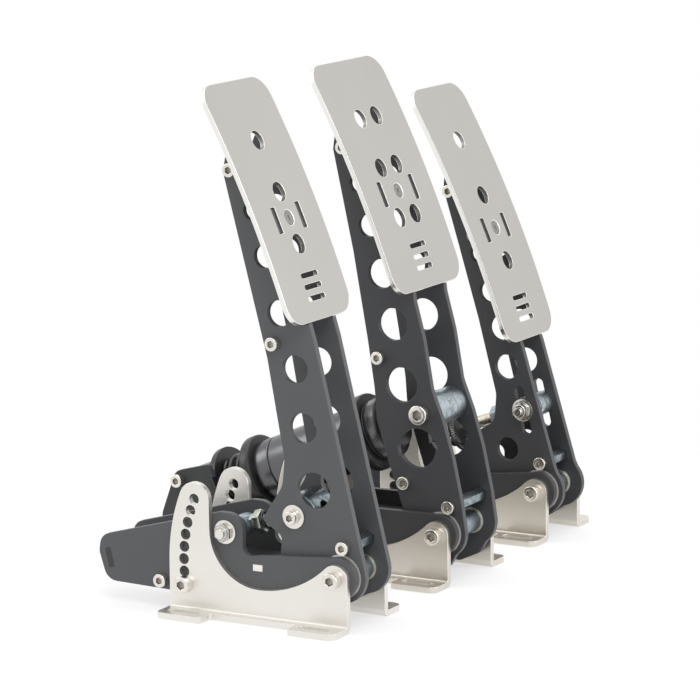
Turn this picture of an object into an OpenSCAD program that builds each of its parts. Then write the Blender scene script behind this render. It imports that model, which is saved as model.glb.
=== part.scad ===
// Set of three floor pedals for a driving simulator: clutch, brake and throttle.
// Each pedal stands on its own two angled feet. X runs to the driver's right, Y away from
// the driver and Z up. The origin is on the floor at the middle of the whole set.

/* [Layout] */
// Distance from the clutch's middle to the brake's middle
clutch_to_brake = 132.5; // [125:0.5:150]
// Distance from the brake's middle to the throttle's middle
brake_to_throttle = 130; // [125:0.5:150]

/* [Sheet metal] */
// Thickness of the feet
foot_t = 4; // [3:0.5:5]
// Thickness of the side plates of the frames
frame_t = 4; // [3:0.5:5]
// Thickness of the arm plates
arm_t = 4; // [3:0.5:5]
// Thickness of the face plates
face_t = 3; // [2:0.5:4]
// Space between the two arm plates of the clutch and of the throttle
narrow_gap = 24; // [22:1:28]
// Space between the two arm plates of the brake
wide_gap = 36; // [34:1:40]

/* [Pivot] */
// Height of the pivots above the floor
pivot_z = 32; // [30:0.5:36]
// Diameter of the fixed axles
axle_d = 10; // [9:0.5:11]
// Outer diameter of the sleeves between the arm plates
sleeve_d = 14.4; // [13.5:0.1:16]
// Diameter of the thin side washers
side_washer_d = 26.4; // [24:0.2:27]
// Thickness of the thin side washers
side_washer_t = 0.8; // [0.5:0.1:1]
// Radius of the round end of each arm plate
arm_end_r = 16; // [15:0.5:17]

/* [Feet] */
// Distance from the pivot to the row of angle holes
hole_row_r = 102; // [98:1:106]
// Number of angle holes
hole_count = 8; // [5:1:8]
// Angle between two holes
hole_step = 4.25; // [4.1:0.05:4.5]
// Angle of the lowest hole, below the level of the pivot
hole_low = -7.6; // [-8.5:0.1:-7]
// Diameter of the angle holes
angle_hole_d = 6.5; // [6:0.1:7]
// Metal round the angle holes, from their middle
hole_edge = 10.2; // [8:0.2:11]
// Radius of the front lobe round the pivot
lobe_r = 8.6; // [8:0.1:10]
// Radius of the rear half of the low sweep between the two lobes
sweep_r = 33.5; // [28:0.5:36]
// Height of the lowest point of that sweep
sweep_z = 20.2; // [18:0.2:23]
// Reach of a foot's tabs, from the bracket's outer face
tab_reach = 17.5; // [16:0.5:22]
// Length of the front and rear tabs
tab_len = 31; // [29:1:36]
// Width of a mounting slot
slot_w = 6.6; // [5.5:0.1:8]
// Length of a mounting slot, end to end
slot_len = 21; // [14:1:23]
// Distance between the front and the rear mounting slot
slot_pitch = 89; // [84:1:90]

/* [Frames] */
// Reach of the brake's frame behind its reaction plate
brake_tail_len = 37; // [33:0.5:42]
// Reach of the clutch's frame behind its feet
clutch_tail_len = 51.5; // [46:0.5:60]
// Reach of the throttle's frame behind its guide
throttle_tail_len = 28; // [25:0.5:34]
// Radius of the frame's round end at the pivot
frame_end_r = 12.4; // [11.5:0.1:13]
// Height of the frame's underside above the floor
frame_low_z = 12; // [10:0.5:14]
// Height of the frame's top edge above the floor
frame_top_z = 43; // [41:0.5:45]

/* [Face plates] */
// Width of the clutch's face plate
clutch_face_w = 72.6; // [62:0.2:80]
// Width of the brake's face plate
brake_face_w = 86.4; // [76:0.2:94]
// Width of the throttle's face plate
throttle_face_w = 68; // [60:0.2:76]
// Reach of the clutch's and the brake's plate above their screw
face_up = 87; // [75:1:92]
// Reach of the clutch's and the brake's plate below their screw
face_down = 62; // [50:1:64]
// Reach of the throttle's plate above its screw
throttle_up = 99.5; // [85:0.5:104]
// Reach of the throttle's plate below its screw
throttle_down = 74; // [60:1:76]
// Height of the clutch's screw above the floor
clutch_face_z = 238.8; // [232:0.2:244]
// Height of the brake's screw above the floor
brake_face_z = 237.8; // [232:0.2:244]
// Height of the throttle's screw above the floor
throttle_face_z = 197.3; // [190:0.1:202]
// Lean of the plates at their screws, in degrees
face_lean = 23.3; // [21:0.1:25]
// Radius of the gentle curve of the face plates
face_curve_r = 800; // [600:20:1200]
// Radius of the face plates' corners
face_corner_r = 13; // [8:0.5:16]
// Diameter of the round grip holes in the face plates
face_hole_d = 12; // [8:0.5:14]
// Distance of the brake's grip holes from the middle line
face_hole_side = 10; // [8:0.5:12]
// Length of the slots that take the arm plates' tabs
face_slot_len = 16; // [12:0.5:18]

/* [Brake unit] */
// Height of the brake's cross tube above the pivot
cross_z = 73; // [70:0.5:76]
// Distance of the brake's cross tube behind the pivot
cross_y = 13.5; // [12:0.5:15]
// Diameter of the brake's cross tube
cross_d = 21; // [18:0.5:22]
// Slope of the brake unit, in degrees below level
unit_slope = 23.3; // [22.5:0.1:24]
// Diameter of the unit's round flanges
flange_d = 49; // [44:0.5:50]
// Diameter of the unit's housing
housing_d = 39; // [34:0.5:40]
// Diameter of the knurled preload ring
ring_d = 39; // [34:0.5:42]
// Width of the knurled preload ring
ring_w = 10; // [7:0.5:11]
// Distance from the cross tube to the front flange's front face
flange_at = 46; // [44:0.5:48]
// Distance from the cross tube to the rear end of the housing
housing_end = 138; // [132:0.5:140]
// Distance from the cross tube to the reaction plate's front face
reaction_at = 156.5; // [154:0.5:160]
// Diameter of the push rod
push_rod_d = 12; // [10:0.5:13]
// Wire of the brake spring
brake_wire = 3.2; // [2.6:0.1:3.4]
// Outer diameter of the brake spring
brake_spring_d = 36; // [32:0.5:38]

/* [Clutch link] */
// Distance of the link barrel behind the pivot
barrel_y = 31.5; // [30:0.5:33]
// Height of the link barrel above the pivot
barrel_z = 32.7; // [31.5:0.1:34]
// Diameter of the link barrel
barrel_d = 25; // [22:0.5:26]
// Distance of the anchor bolt in front of the feet's row of angle holes
anchor_inset = 26.7; // [25:0.1:28.5]
// Height of the anchor bolt above the pivot
anchor_z = 20; // [19:0.5:21]
// Diameter of the clutch's slide rod
slide_rod_d = 7; // [6:0.5:7.5]

/* [Throttle link] */
// Distance of the leverage bolt behind the pivot
lever_y = 12.5; // [11.5:0.5:13.5]
// Height of the leverage bolt above the pivot
lever_z = 51; // [49:0.5:53]
// Distance of the rear guide behind the pivot
guide_y = 140; // [137:1:143]
// Slope of the throttle's rod, in degrees below level
rod_slope = 20.1; // [19.5:0.1:21]
// Diameter of the throttle's rod
throttle_rod_d = 8; // [7:0.5:8.5]

/* [Hidden] */
$fn = 64;

// The three pedals, by number
clutch = 0;
brake = 1;
throttle = 2;

// Clearances
slip = 0.05;
loose = 0.3;
screw_slip = 0.25;
eps = 0.01;

// Stack across each pedal, from the middle outwards: arm, side washer, frame, foot
side_gap = side_washer_t + 0.2;
arm_in = [narrow_gap / 2, wide_gap / 2, narrow_gap / 2];
arm_out = [for (a = arm_in) a + arm_t];
frame_in = [for (a = arm_out) a + side_gap];
frame_out = [for (a = frame_in) a + frame_t];
foot_out = [for (a = frame_out) a + foot_t];

// Places of the three pedals. The front of the set is the arms' round end.
row_len = clutch_to_brake + brake_to_throttle;
side_reach = tab_reach + foot_out[clutch];
side_reach_right = tab_reach + foot_out[throttle];
x_shift = (side_reach - side_reach_right) / 2;
pedal_x = [-row_len / 2, -row_len / 2 + clutch_to_brake, row_len / 2];

// Screw sizes: shank, head, head height, socket across flats
m5 = [5, 8.2, 5, 4];
m6 = [6, 10, 6, 5];
m8 = [8, 12, 7, 6];
hex5 = 8;
hex6 = 10;
nut6_h = 5;
bolt_tip = 1.5;
plain_washer_t = 1.2;
wide_washer_d = 14.4;

// Brackets of the feet
bend_in_r = 1;
bend_r = foot_t + bend_in_r;
strip_reach = 6;
tab_corner_r = 5;
slot_side = 9;
foot_front = -lobe_r;
foot_rear = hole_row_r + hole_edge;
slot_front = 8;
top_hole_angle = hole_low + (hole_count - 1) * hole_step;
top_hole = hole_row_r * [cos(top_hole_angle), sin(top_hole_angle)] + [0, pivot_z];
low_hole = hole_row_r * [cos(hole_low), sin(hole_low)];

// Faces: screw places, sizes and grip holes by their distance up the plate
face_w = [clutch_face_w, brake_face_w, throttle_face_w];
face_z = [clutch_face_z, brake_face_z, throttle_face_z];
face_y = [41.8, 40.8, 40];
face_top = [face_up, face_up, throttle_up];
face_bottom = [face_down, face_down, throttle_down];
face_holes = [[48.6, 16.2, -16.2], [48.6, 16.2, -16.2], [61, 22.4, -22.4]];
face_hole_x = [0, face_hole_side, 0];
face_slot_side = [for (a = arm_in) a + arm_t / 2];
face_slot_w = arm_t + 2 * screw_slip;
face_screw_head_d = 9.6;
block_h = 14;
block_d = 12;

// Brake unit, measured along its own axis from the cross tube
cross_at = [cross_y, pivot_z + cross_z];
flange_t = 8;
collar_w = 5;
collar_d = 30;
seam_at = 118;
seam_w = 0.8;
rear_flange_t = 8;
reaction_t = 4;
cell_len = 12;
cell_d = 30;
rod_tail = 12;
spring_seat_gap = 0.3;
rod_slack = 0.6;

// Point beside the brake unit's axis: at along it and up across it
function unit_pt(at, up) =
  cross_at + at * [cos(unit_slope), -sin(unit_slope)]
  + up * [sin(unit_slope), cos(unit_slope)];

// Reach of the frames behind their pivots. The brake's is the longest and ends the set.
tower_at = reaction_at + reaction_t;
brake_frame_len = unit_pt(tower_at, 0)[0] + brake_tail_len;
clutch_frame_len = foot_rear + clutch_tail_len;
throttle_frame_len = guide_y + throttle_tail_len;
y_shift = (brake_frame_len - arm_end_r) / 2;

// Clutch link
barrel_at = [barrel_y, pivot_z + barrel_z];
anchor_y = hole_row_r - anchor_inset;
anchor_at = [anchor_y, pivot_z + anchor_z];
link_span = norm(anchor_at - barrel_at);
link_slope = atan2(barrel_at[1] - anchor_at[1], anchor_at[0] - barrel_at[0]);
trunnion_d = 13;
trunnion_w = 12;
lock_nut_w = 3.5;
lock_nut_d = 9;
seat_nut_w = 5;
seat_nut_af = 12.6;
clutch_wire = 1.6;
clutch_spring_d = 12;
barrel_slack = 0.9;

// Throttle link
lever_at = [lever_y, pivot_z + lever_z];
guide_span = (guide_y - lever_y) / cos(rod_slope);
guide_at = [guide_y, lever_at[1] - guide_span * sin(rod_slope)];
lever_slot_len = 31;
lever_slot_lean = 13;
lever_spacer_d = 15.2;
rod_eye_d = 16;
rod_eye_w = 9;
guide_slack = 0.6;
guide_d = 20;
guide_w = 22;
throttle_wire = 2.6;
throttle_spring_d = 22;
throttle_ring_at = 51.5;
throttle_ring_w = 6;
throttle_ring_d = 31;
rod_nut_at = 25;
rod_nut_w = 5;

// Points of an arc round c, from angle a0 to a1
function arc(c, r, a0, a1, n = 12) =
  [for (i = [0:n]) c + r * [cos(a0 + (a1 - a0) * i / n), sin(a0 + (a1 - a0) * i / n)]];

function unit(v) = v / norm(v);

// Turn from angle a to angle b the short way
function turn(a, b) = let (d = (b - a) % 360) d > 180 ? d - 360 : d < -180 ? d + 360 : d;

// One corner of an outline, rounded with radius r
function corner(a, b, c, r, n) =
  r <= 0 ? [b] :
  let (
    u = unit(a - b),
    v = unit(c - b),
    half = acos(max(-1, min(1, u * v))) / 2,
    m = b + unit(u + v) * r / sin(half),
    s = b + u * r / tan(half) - m,
    e = b + v * r / tan(half) - m,
    a0 = atan2(s[1], s[0]),
    da = turn(a0, atan2(e[1], e[0]))
  )
  [for (i = [0:n]) m + r * [cos(a0 + da * i / n), sin(a0 + da * i / n)]];

// Outline from corners [y, z, radius]
function rounded(p, n = 6) =
  let (k = len(p))
  [for (i = [0:k - 1])
    each corner(
      [p[(i + k - 1) % k][0], p[(i + k - 1) % k][1]],
      [p[i][0], p[i][1]],
      [p[(i + 1) % k][0], p[(i + 1) % k][1]],
      p[i][2], n)];

// Point of a face plate: s up the plate from its screw, deep behind its front
function face_pt(p, s, deep) =
  let (
    r = face_curve_r,
    mid = [face_y[p], face_z[p]] + r * [cos(face_lean), -sin(face_lean)],
    a = face_lean + s / r * 180 / PI
  )
  mid + (r - deep) * [-cos(a), sin(a)];

// Centre points of a coil that climbs along Z
function coil(r, len, turns, rings = 8) =
  [for (i = [0:turns * rings])
    [r * cos(360 * i / rings), r * sin(360 * i / rings), len * i / (turns * rings)]];

// Least gap between one curl of a coil and the next
function coil_gap(path, wire, rings = 8) =
  min([for (i = [0:len(path) - 1])
    for (j = [i + rings / 2:1:min(len(path) - 1, i + 2 * rings)])
      norm(path[i] - path[j])]) - wire;

// Solid tube of six sides along a path of points
module tube_along(path, d) {
  sides = 6;
  n = len(path);
  dirs = [for (i = [0:n - 1]) unit(path[min(i + 1, n - 1)] - path[max(i - 1, 0)])];
  pts = [for (i = [0:n - 1])
    let (t = dirs[i], w = unit(cross(t, [0, 0, 1])), v = cross(w, t))
    for (j = [0:sides - 1])
      path[i] + d / 2 * (cos(360 * j / sides) * w + sin(360 * j / sides) * v)];
  side_faces = [for (i = [0:n - 2]) for (j = [0:sides - 1])
    let (a = i * sides + j, b = i * sides + (j + 1) % sides)
    each [[a, b, a + sides], [b, b + sides, a + sides]]];
  first_cap = [for (j = [1:sides - 2]) [0, j + 1, j]];
  last = (n - 1) * sides;
  last_cap = [for (j = [1:sides - 2]) [last, last + j, last + j + 1]];
  polyhedron(points = pts, faces = concat(side_faces, first_cap, last_cap));
}

module at_pedal(p) {
  translate([pedal_x[p] + x_shift, -y_shift, 0]) children();
}

// Plate of thickness t in the YZ plane, with its near face at x
module side_plate(x, t, pts) {
  translate([x, 0, 0]) rotate([90, 0, 90]) linear_extrude(height = t) polygon(pts);
}

// Round bar along X, from x0 to x1
module bar_x(x0, x1, at, d) {
  translate([x0, at[0], at[1]]) rotate([0, 90, 0]) cylinder(h = x1 - x0, d = d);
}

// Six-sided bar along X
module hex_x(x0, x1, at, af) {
  translate([x0, at[0], at[1]]) rotate([0, 90, 0])
    cylinder(h = x1 - x0, d = af / cos(30), $fn = 6);
}

// Tube along X
module tube_x(x0, x1, at, d_out, d_in) {
  difference() {
    bar_x(x0, x1, at, d_out);
    bar_x(x0 - 1, x1 + 1, at, d_in);
  }
}

// Cap screw along X. Its head sits on the plane at x and points to side.
module cap_screw(x, at, side, m, reach) {
  translate([x, at[0], at[1]]) rotate([0, side * 90, 0]) {
    difference() {
      cylinder(h = m[2], d = m[1]);
      translate([0, 0, m[2] / 2]) cylinder(h = m[2], d = m[3] / cos(30), $fn = 6);
    }
    translate([0, 0, -reach]) cylinder(h = reach + m[2] / 4, d = m[0]);
  }
}

// Two cap screws that hold a spacer between two plates whose outer faces are at x
module screw_pair(x, at, m, reach) {
  cap_screw(-x, at, -1, m, reach);
  cap_screw(x, at, 1, m, reach);
}

// Spacer between two plates, with a threaded hole from end to end
module spacer(half, at, af, hole) {
  difference() {
    hex_x(-half, half, at, af);
    bar_x(-half - 1, half + 1, at, hole + 2 * slip);
  }
}

// Moves along the brake unit's axis. Z points down the axis, to the rear.
module on_unit(at = 0) {
  translate([0, cross_at[0], cross_at[1]]) rotate([-90 - unit_slope, 0, 0])
    translate([0, 0, at]) children();
}

// Moves along the clutch link. Z points from the anchor to the barrel.
module on_link(at = 0) {
  translate([0, anchor_at[0], anchor_at[1]]) rotate([90 - link_slope, 0, 0])
    translate([0, 0, at]) children();
}

// Moves along the throttle's rod. Z points to the rear.
module on_rod(at = 0) {
  translate([0, lever_at[0], lever_at[1]]) rotate([-90 - rod_slope, 0, 0])
    translate([0, 0, at]) children();
}

// Upright web of a foot: a front lobe at the pivot and a tall rear lobe with the angle holes
function foot_outline() =
  let (
    piv = [0, pivot_z],
    sweep_y = top_hole[0] - hole_edge - sweep_r,
    drop = pivot_z - sweep_z,
    front_r = (sweep_y * sweep_y + drop * drop - lobe_r * lobe_r) / (lobe_r + drop) / 2,
    front_mid = [sweep_y, sweep_z + front_r],
    touch = atan2(front_mid[1] - piv[1], front_mid[0])
  )
  concat(
    [[foot_front, bend_r - eps]],
    arc(piv, lobe_r, 180, touch, 12),
    arc(front_mid, front_r, 180 + touch, 270, 12),
    arc([sweep_y, sweep_z + sweep_r], sweep_r, -90, 0, 12),
    arc(top_hole, hole_edge, 180, top_hole_angle, 12),
    arc(piv, foot_rear, top_hole_angle, 0, 10),
    [[foot_rear, bend_r - eps]]
  );

// Plan of a foot's flat part: a tab at each end and a narrow strip between them
function foot_plan(x) =
  rounded([
    [x + bend_in_r, foot_front, 0],
    [x + tab_reach, foot_front, tab_corner_r],
    [x + tab_reach, foot_front + tab_len, 2],
    [x + strip_reach, foot_front + tab_len, 2],
    [x + strip_reach, foot_rear - tab_len, 2],
    [x + tab_reach, foot_rear - tab_len, 2],
    [x + tab_reach, foot_rear, tab_corner_r],
    [x + bend_in_r, foot_rear, 0]
  ], 5);

// Mounting slot through a foot, centred at y
module foot_slot(x, y) {
  run = (slot_len - slot_w) / 2;
  translate([x + slot_side, y, -1]) {
    for (s = [-1, 1]) translate([0, s * run, 0]) cylinder(h = foot_t + 2, d = slot_w);
    translate([-slot_w / 2, -run, 0]) cube([slot_w, 2 * run, foot_t + 2]);
  }
}

// Right-hand foot of pedal p
module foot(p) {
  x = foot_out[p];
  difference() {
    union() {
      side_plate(x - foot_t, foot_t, foot_outline());
      intersection() {
        translate([x + bend_in_r, foot_front, bend_r]) rotate([-90, 0, 0]) difference() {
          cylinder(h = foot_rear - foot_front, r = bend_r);
          translate([0, 0, -1]) cylinder(h = foot_rear - foot_front + 2, r = bend_in_r);
        }
        translate([x - foot_t, foot_front, 0])
          cube([bend_r + eps, foot_rear - foot_front, bend_r]);
      }
      linear_extrude(height = foot_t) polygon(foot_plan(x));
    }
    bar_x(x - foot_t - 1, x + 1, [0, pivot_z], m6[0] + 2 * screw_slip);
    for (i = [0:hole_count - 1])
      let (a = hole_low + i * hole_step)
        bar_x(x - foot_t - 1, x + 1,
          hole_row_r * [cos(a), sin(a)] + [0, pivot_z], angle_hole_d);
    foot_slot(x, slot_front);
    foot_slot(x, slot_front + slot_pitch);
  }
}

module foot_right(p) {
  color([0.78, 0.76, 0.72]) at_pedal(p) foot(p);
}

module foot_left(p) {
  color([0.78, 0.76, 0.72]) at_pedal(p) mirror([1, 0, 0]) foot(p);
}

// Outlines of the frames' side plates, seen from the side
anchor_hump_r = 11.6;
tail_screw_gap = 3;
tail_screw_y = foot_rear + m5[1] / 2 + tail_screw_gap;
tail_screw = [tail_screw_y, frame_low_z + 6.2];
function clutch_frame_outline() =
  rounded([
    [0, frame_top_z + 1.2, 0],
    [anchor_y - 23, frame_top_z - 3.2, 30],
    [anchor_y - anchor_hump_r, frame_top_z - 5, 5],
    [anchor_y - anchor_hump_r, anchor_at[1] + anchor_hump_r, 10],
    [anchor_y + 4, anchor_at[1] + anchor_hump_r, 8],
    [clutch_frame_len - 1, frame_top_z - 2, 8],
    [clutch_frame_len + 0.5, frame_top_z - 12, 8],
    [clutch_frame_len - 5, frame_low_z + 1.6, 9],
    [hole_row_r, frame_low_z, 20],
    [0, pivot_z - frame_end_r, 0]
  ]);

// The brake's rear tower leans with the reaction plate, whose ears rest in its notch
ear_down = 10;
ear_up = 9;
tower_up = 17.6;
tower_screw = [brake_frame_len - 13.3, frame_top_z + 4.6];
function brake_frame_outline() =
  let (
    shoulder = unit_pt(reaction_at - 2, -ear_down),
    notch_low = unit_pt(tower_at, -ear_down),
    notch_top = unit_pt(tower_at, ear_up + slip),
    notch_front = unit_pt(reaction_at - 1, ear_up + slip),
    tower_top = unit_pt(reaction_at - 1, tower_up)
  )
  rounded([
    [0, frame_top_z + 1.2, 0],
    [hole_row_r - 26, frame_top_z + 0.5, 12],
    [hole_row_r + 2, frame_top_z - 7, 12],
    [shoulder[0] - 14, frame_top_z - 8, 4],
    [shoulder[0], shoulder[1], 0],
    [notch_low[0], notch_low[1], 0],
    [notch_top[0], notch_top[1], 0],
    [notch_front[0], notch_front[1], 0],
    [tower_top[0], tower_top[1], 1.5],
    [tower_screw[0] + 3, tower_screw[1] + 5.6, 7],
    [brake_frame_len, frame_top_z - 18, 16],
    [brake_frame_len, frame_low_z + 1, 6],
    [hole_row_r, frame_low_z, 20],
    [0, pivot_z - frame_end_r, 0]
  ]);

throttle_screw = [tail_screw_y, frame_low_z + 6];
function throttle_frame_outline() =
  rounded([
    [0, frame_top_z + 1.2, 0],
    [60, frame_top_z - 6, 20],
    [guide_at[0] - 26, frame_top_z - 10, 12],
    [guide_at[0] - 12, guide_at[1] + 12, 9],
    [guide_at[0] + 12, guide_at[1] + 12, 9],
    [throttle_frame_len, frame_top_z - 12, 10],
    [throttle_frame_len, frame_low_z + 1, 8],
    [hole_row_r, frame_low_z, 20],
    [0, pivot_z - frame_end_r, 0]
  ]);

// Right-hand side plate of a frame
module frame_plate(p) {
  x = frame_in[p];
  pts = p == clutch ? clutch_frame_outline()
    : p == brake ? brake_frame_outline() : throttle_frame_outline();
  difference() {
    union() {
      side_plate(x, frame_t, pts);
      bar_x(x, x + frame_t, [0, pivot_z], 2 * frame_end_r);
    }
    bar_x(x - 1, x + frame_t + 1, [0, pivot_z], axle_d + 2 * slip);
    bar_x(x - 1, x + frame_t + 1, low_hole + [0, pivot_z], m6[0] + 2 * screw_slip);
    web_slots(x - 1);
    if (p == clutch) {
      tail_web(frame_out[p] + 1, tail_tab_run + 2 * slip, web_t + 2 * slip);
      bar_x(x - 1, x + frame_t + 1, anchor_at, m6[0] + 2 * slip);
      bar_x(x - 1, x + frame_t + 1, tail_screw, m5[0] + 2 * screw_slip);
    }
    if (p == brake)
      bar_x(x - 1, x + frame_t + 1, tower_screw, m5[0] + 2 * screw_slip);
    if (p == throttle) {
      bar_x(x - 1, x + frame_t + 1, guide_at, m6[0] + 2 * screw_slip);
      bar_x(x - 1, x + frame_t + 1, throttle_screw, m5[0] + 2 * screw_slip);
    }
  }
}

module frame_right(p) {
  color([0.16, 0.16, 0.17]) at_pedal(p) frame_plate(p);
}

module frame_left(p) {
  color([0.16, 0.16, 0.17]) at_pedal(p) mirror([1, 0, 0]) frame_plate(p);
}

module pivot_axles() {
  color([0.66, 0.68, 0.7])
    for (p = [clutch, brake, throttle]) at_pedal(p)
      tube_x(-frame_out[p], frame_out[p], [0, pivot_z], axle_d, m6[0] + 2 * slip);
}

module pivot_washers() {
  color([0.8, 0.8, 0.8])
    for (p = [clutch, brake, throttle]) at_pedal(p)
      for (s = [0, 1]) mirror([s, 0, 0])
        tube_x(frame_in[p] - side_washer_t, frame_in[p], [0, pivot_z],
          side_washer_d, axle_d + 2 * slip);
}

// Screws of the feet: one into each end of the axle, one into each end of the angle spacer
screw_reach = 16;
module foot_screws() {
  color([0.8, 0.79, 0.77])
    for (p = [clutch, brake, throttle]) at_pedal(p) {
      screw_pair(foot_out[p], [0, pivot_z], m6, screw_reach);
      screw_pair(foot_out[p], low_hole + [0, pivot_z], m6, screw_reach);
    }
}

module frame_spacers() {
  color([0.6, 0.64, 0.68]) {
    for (p = [clutch, brake, throttle]) at_pedal(p)
      spacer(frame_in[p], low_hole + [0, pivot_z], hex6, m6[0]);
    at_pedal(clutch) spacer(frame_in[clutch], tail_screw, hex5, m5[0]);
    at_pedal(brake) spacer(frame_in[brake], tower_screw, hex5, m5[0]);
    at_pedal(throttle) spacer(frame_in[throttle], throttle_screw, hex5, m5[0]);
  }
}

module frame_screws() {
  color([0.8, 0.79, 0.77]) {
    at_pedal(clutch) screw_pair(frame_out[clutch], tail_screw, m5, screw_reach - 4);
    at_pedal(brake) screw_pair(frame_out[brake], tower_screw, m5, screw_reach - 4);
    at_pedal(throttle) screw_pair(frame_out[throttle], throttle_screw, m5, screw_reach - 4);
  }
}

// Flat cross plates that tie the two side plates of each frame. Their tabs end flush outside.
web_t = 4;
web_z = frame_low_z + 18.3;
web_y0 = 49;
web_y1 = 98;
tab_y = [50.5, 89];
tab_run = 6.6;
tail_web_lean = 14;
tail_web_run = 20;
tail_tab_run = 12;
tail_web_at = [clutch_frame_len - 7, frame_low_z + 15.6];
module frame_webs() {
  color([0.14, 0.14, 0.15]) {
    for (p = [clutch, brake, throttle]) at_pedal(p) {
      translate([-frame_in[p], web_y0, web_z])
        cube([2 * frame_in[p], web_y1 - web_y0, web_t]);
      for (y = tab_y) translate([-frame_out[p] + slip, y, web_z])
        cube([2 * (frame_out[p] - slip), tab_run, web_t]);
    }
    at_pedal(clutch) {
      tail_web(frame_in[clutch], tail_web_run, web_t);
      tail_web(frame_out[clutch] - slip, tail_tab_run, web_t);
    }
  }
}

// Upright cross plate in the clutch frame's tail
module tail_web(half, run, t) {
  translate([-half, tail_web_at[0], tail_web_at[1]]) rotate([-tail_web_lean, 0, 0])
    translate([0, -t / 2, -run / 2]) cube([2 * half, t, run]);
}

// Slots in a frame's side plate for the cross plate's tabs
module web_slots(x) {
  for (y = tab_y) translate([x, y - slip, web_z - slip])
    cube([frame_t + 2, tab_run + 2 * slip, web_t + 2 * slip]);
}

// Bolt through the clutch frame's hump, with a washer and a locking nut
module clutch_anchor_bolt() {
  x = frame_out[clutch];
  color([0.8, 0.79, 0.77]) at_pedal(clutch) {
    difference() {
      union() {
        bar_x(-x - plain_washer_t - nut6_h - bolt_tip, x + plain_washer_t + 1, anchor_at, m6[0]);
        bar_x(x + plain_washer_t, x + plain_washer_t + m6[2], anchor_at, m6[1]);
      }
      hex_x(x + plain_washer_t + m6[2] / 2, x + plain_washer_t + m6[2] + 1, anchor_at, m6[3]);
    }
    for (s = [0, 1]) mirror([s, 0, 0])
      tube_x(x, x + plain_washer_t, anchor_at, wide_washer_d, m6[0] + 2 * slip);
    difference() {
      hex_x(-x - plain_washer_t - nut6_h, -x - plain_washer_t, anchor_at, hex6);
      bar_x(-x - 20, -x, anchor_at, m6[0] + 2 * slip);
    }
  }
}

// Plate that the brake spring pushes against: round top, square shoulders on the frame
module brake_reaction_plate() {
  half = frame_out[brake];
  color([0.14, 0.14, 0.15]) at_pedal(brake) on_unit(reaction_at) difference() {
    union() {
      cylinder(h = reaction_t, d = flange_d);
      translate([-half, -ear_up, 0]) cube([2 * half, ear_up + ear_down, reaction_t]);
    }
    translate([0, 0, -1]) cylinder(h = reaction_t + 2, d = push_rod_d + 2 * rod_slack);
  }
}

module brake_load_cell() {
  color([0.7, 0.7, 0.72]) at_pedal(brake) on_unit(reaction_at + reaction_t) difference() {
    cylinder(h = cell_len, d = cell_d);
    translate([0, 0, -1]) cylinder(h = cell_len + 2, d = push_rod_d + 2 * rod_slack);
  }
}

// Guide that the throttle's rod slides through, turning on a screw from each side
module throttle_guide() {
  stub = frame_in[throttle] - guide_w / 2;
  color([0.62, 0.66, 0.7]) at_pedal(throttle) {
    difference() {
      union() {
        bar_x(-guide_w / 2, guide_w / 2, guide_at, guide_d);
        bar_x(-frame_in[throttle], frame_in[throttle], guide_at, hex6);
      }
      on_rod(guide_span - guide_d) cylinder(h = 2 * guide_d, d = throttle_rod_d + 2 * guide_slack);
      for (s = [-1, 1]) translate([s * (frame_in[throttle] - 3), guide_at[0], guide_at[1]])
        rotate([0, 90, 0]) cylinder(h = 2 * stub, d = m6[0] + 2 * slip, center = true);
    }
    screw_pair(frame_out[throttle], guide_at, m6, frame_t + 4);
  }
}

// Small closed housings of the position sensors, screwed to the frames' webs
sensor_size = [20, 26, 9];
module sensor_housings() {
  color([0.1, 0.1, 0.11])
    for (p = [clutch, throttle]) at_pedal(p)
      translate([-sensor_size[0] / 2, web_y0 + 9, web_z - sensor_size[2]])
        cube(sensor_size);
}

// Screws that hold spacers between the arm plates. The lowest clears the side washer.
low_screw_r = side_washer_d / 2 + m5[1] / 2 + 0.6;
low_screw_angle = [98, 109, 94];
function low_screw(p) = low_screw_r * [cos(low_screw_angle[p]), sin(low_screw_angle[p])];
arm_screw_at = [
  [[70.6, 235.2], [43.4, 134.8], low_screw(clutch)],
  [[66, 233.8], [42.4, 105.6], [25, 29.2], low_screw(brake)],
  [[64.1, 189.6], low_screw(throttle)]
];

// Round lightening holes of the arm plates: place from the pivot, and diameter
arm_hole_at = [
  [[18.3, 49.3, 22], [24.8, 85.9, 18], [29.9, 120.4, 17], [40.3, 152.6, 15.6],
    [49.6, 185.4, 14], [57.4, 212, 12]],
  [[16.8, 51.2, 24.6], [27.7, 89.6, 21.5], [33.5, 126.6, 20], [41.4, 157.3, 18],
    [49.8, 186.4, 14], [56.8, 212, 12]],
  [[23.5, 24.6, 15], [24.4, 78, 16], [28.5, 103, 16], [36.4, 126.1, 14],
    [44, 150.3, 12]]
];

// Front edge of an arm plate: just under the face plate's lower end, then up behind it
under_gap = 0.4;
function face_edge(p, high, n = 8) =
  let (low = -face_bottom[p] - under_gap)
  concat(
    [face_pt(p, low, face_t / 3) - [0, pivot_z]],
    [for (i = [0:n]) face_pt(p, low + (high - low) * i / n, face_t + 2 * slip) - [0, pivot_z]]
  );
function behind_face(p, s) = face_pt(p, s, face_t + 2 * slip) - [0, pivot_z];

// Outlines of the arm plates, from the pivot
function clutch_arm_outline() = concat(
  [[-15.6, 3.7], [17, 137.5]],
  face_edge(clutch, 40),
  rounded([[behind_face(clutch, 44)[0], behind_face(clutch, 44)[1], 0],
    [75.6, 240.5, 4], [63, 187, 60], [48.4, 125, 60], [37.6, 66, 20], [39.4, 50, 12],
    [53, 29, 1.5], [40, 20, 4], [41, 6, 6], [26, -20, 8], [9, -22, 5], [-11, -11.5, 0]], 5)
);

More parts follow.
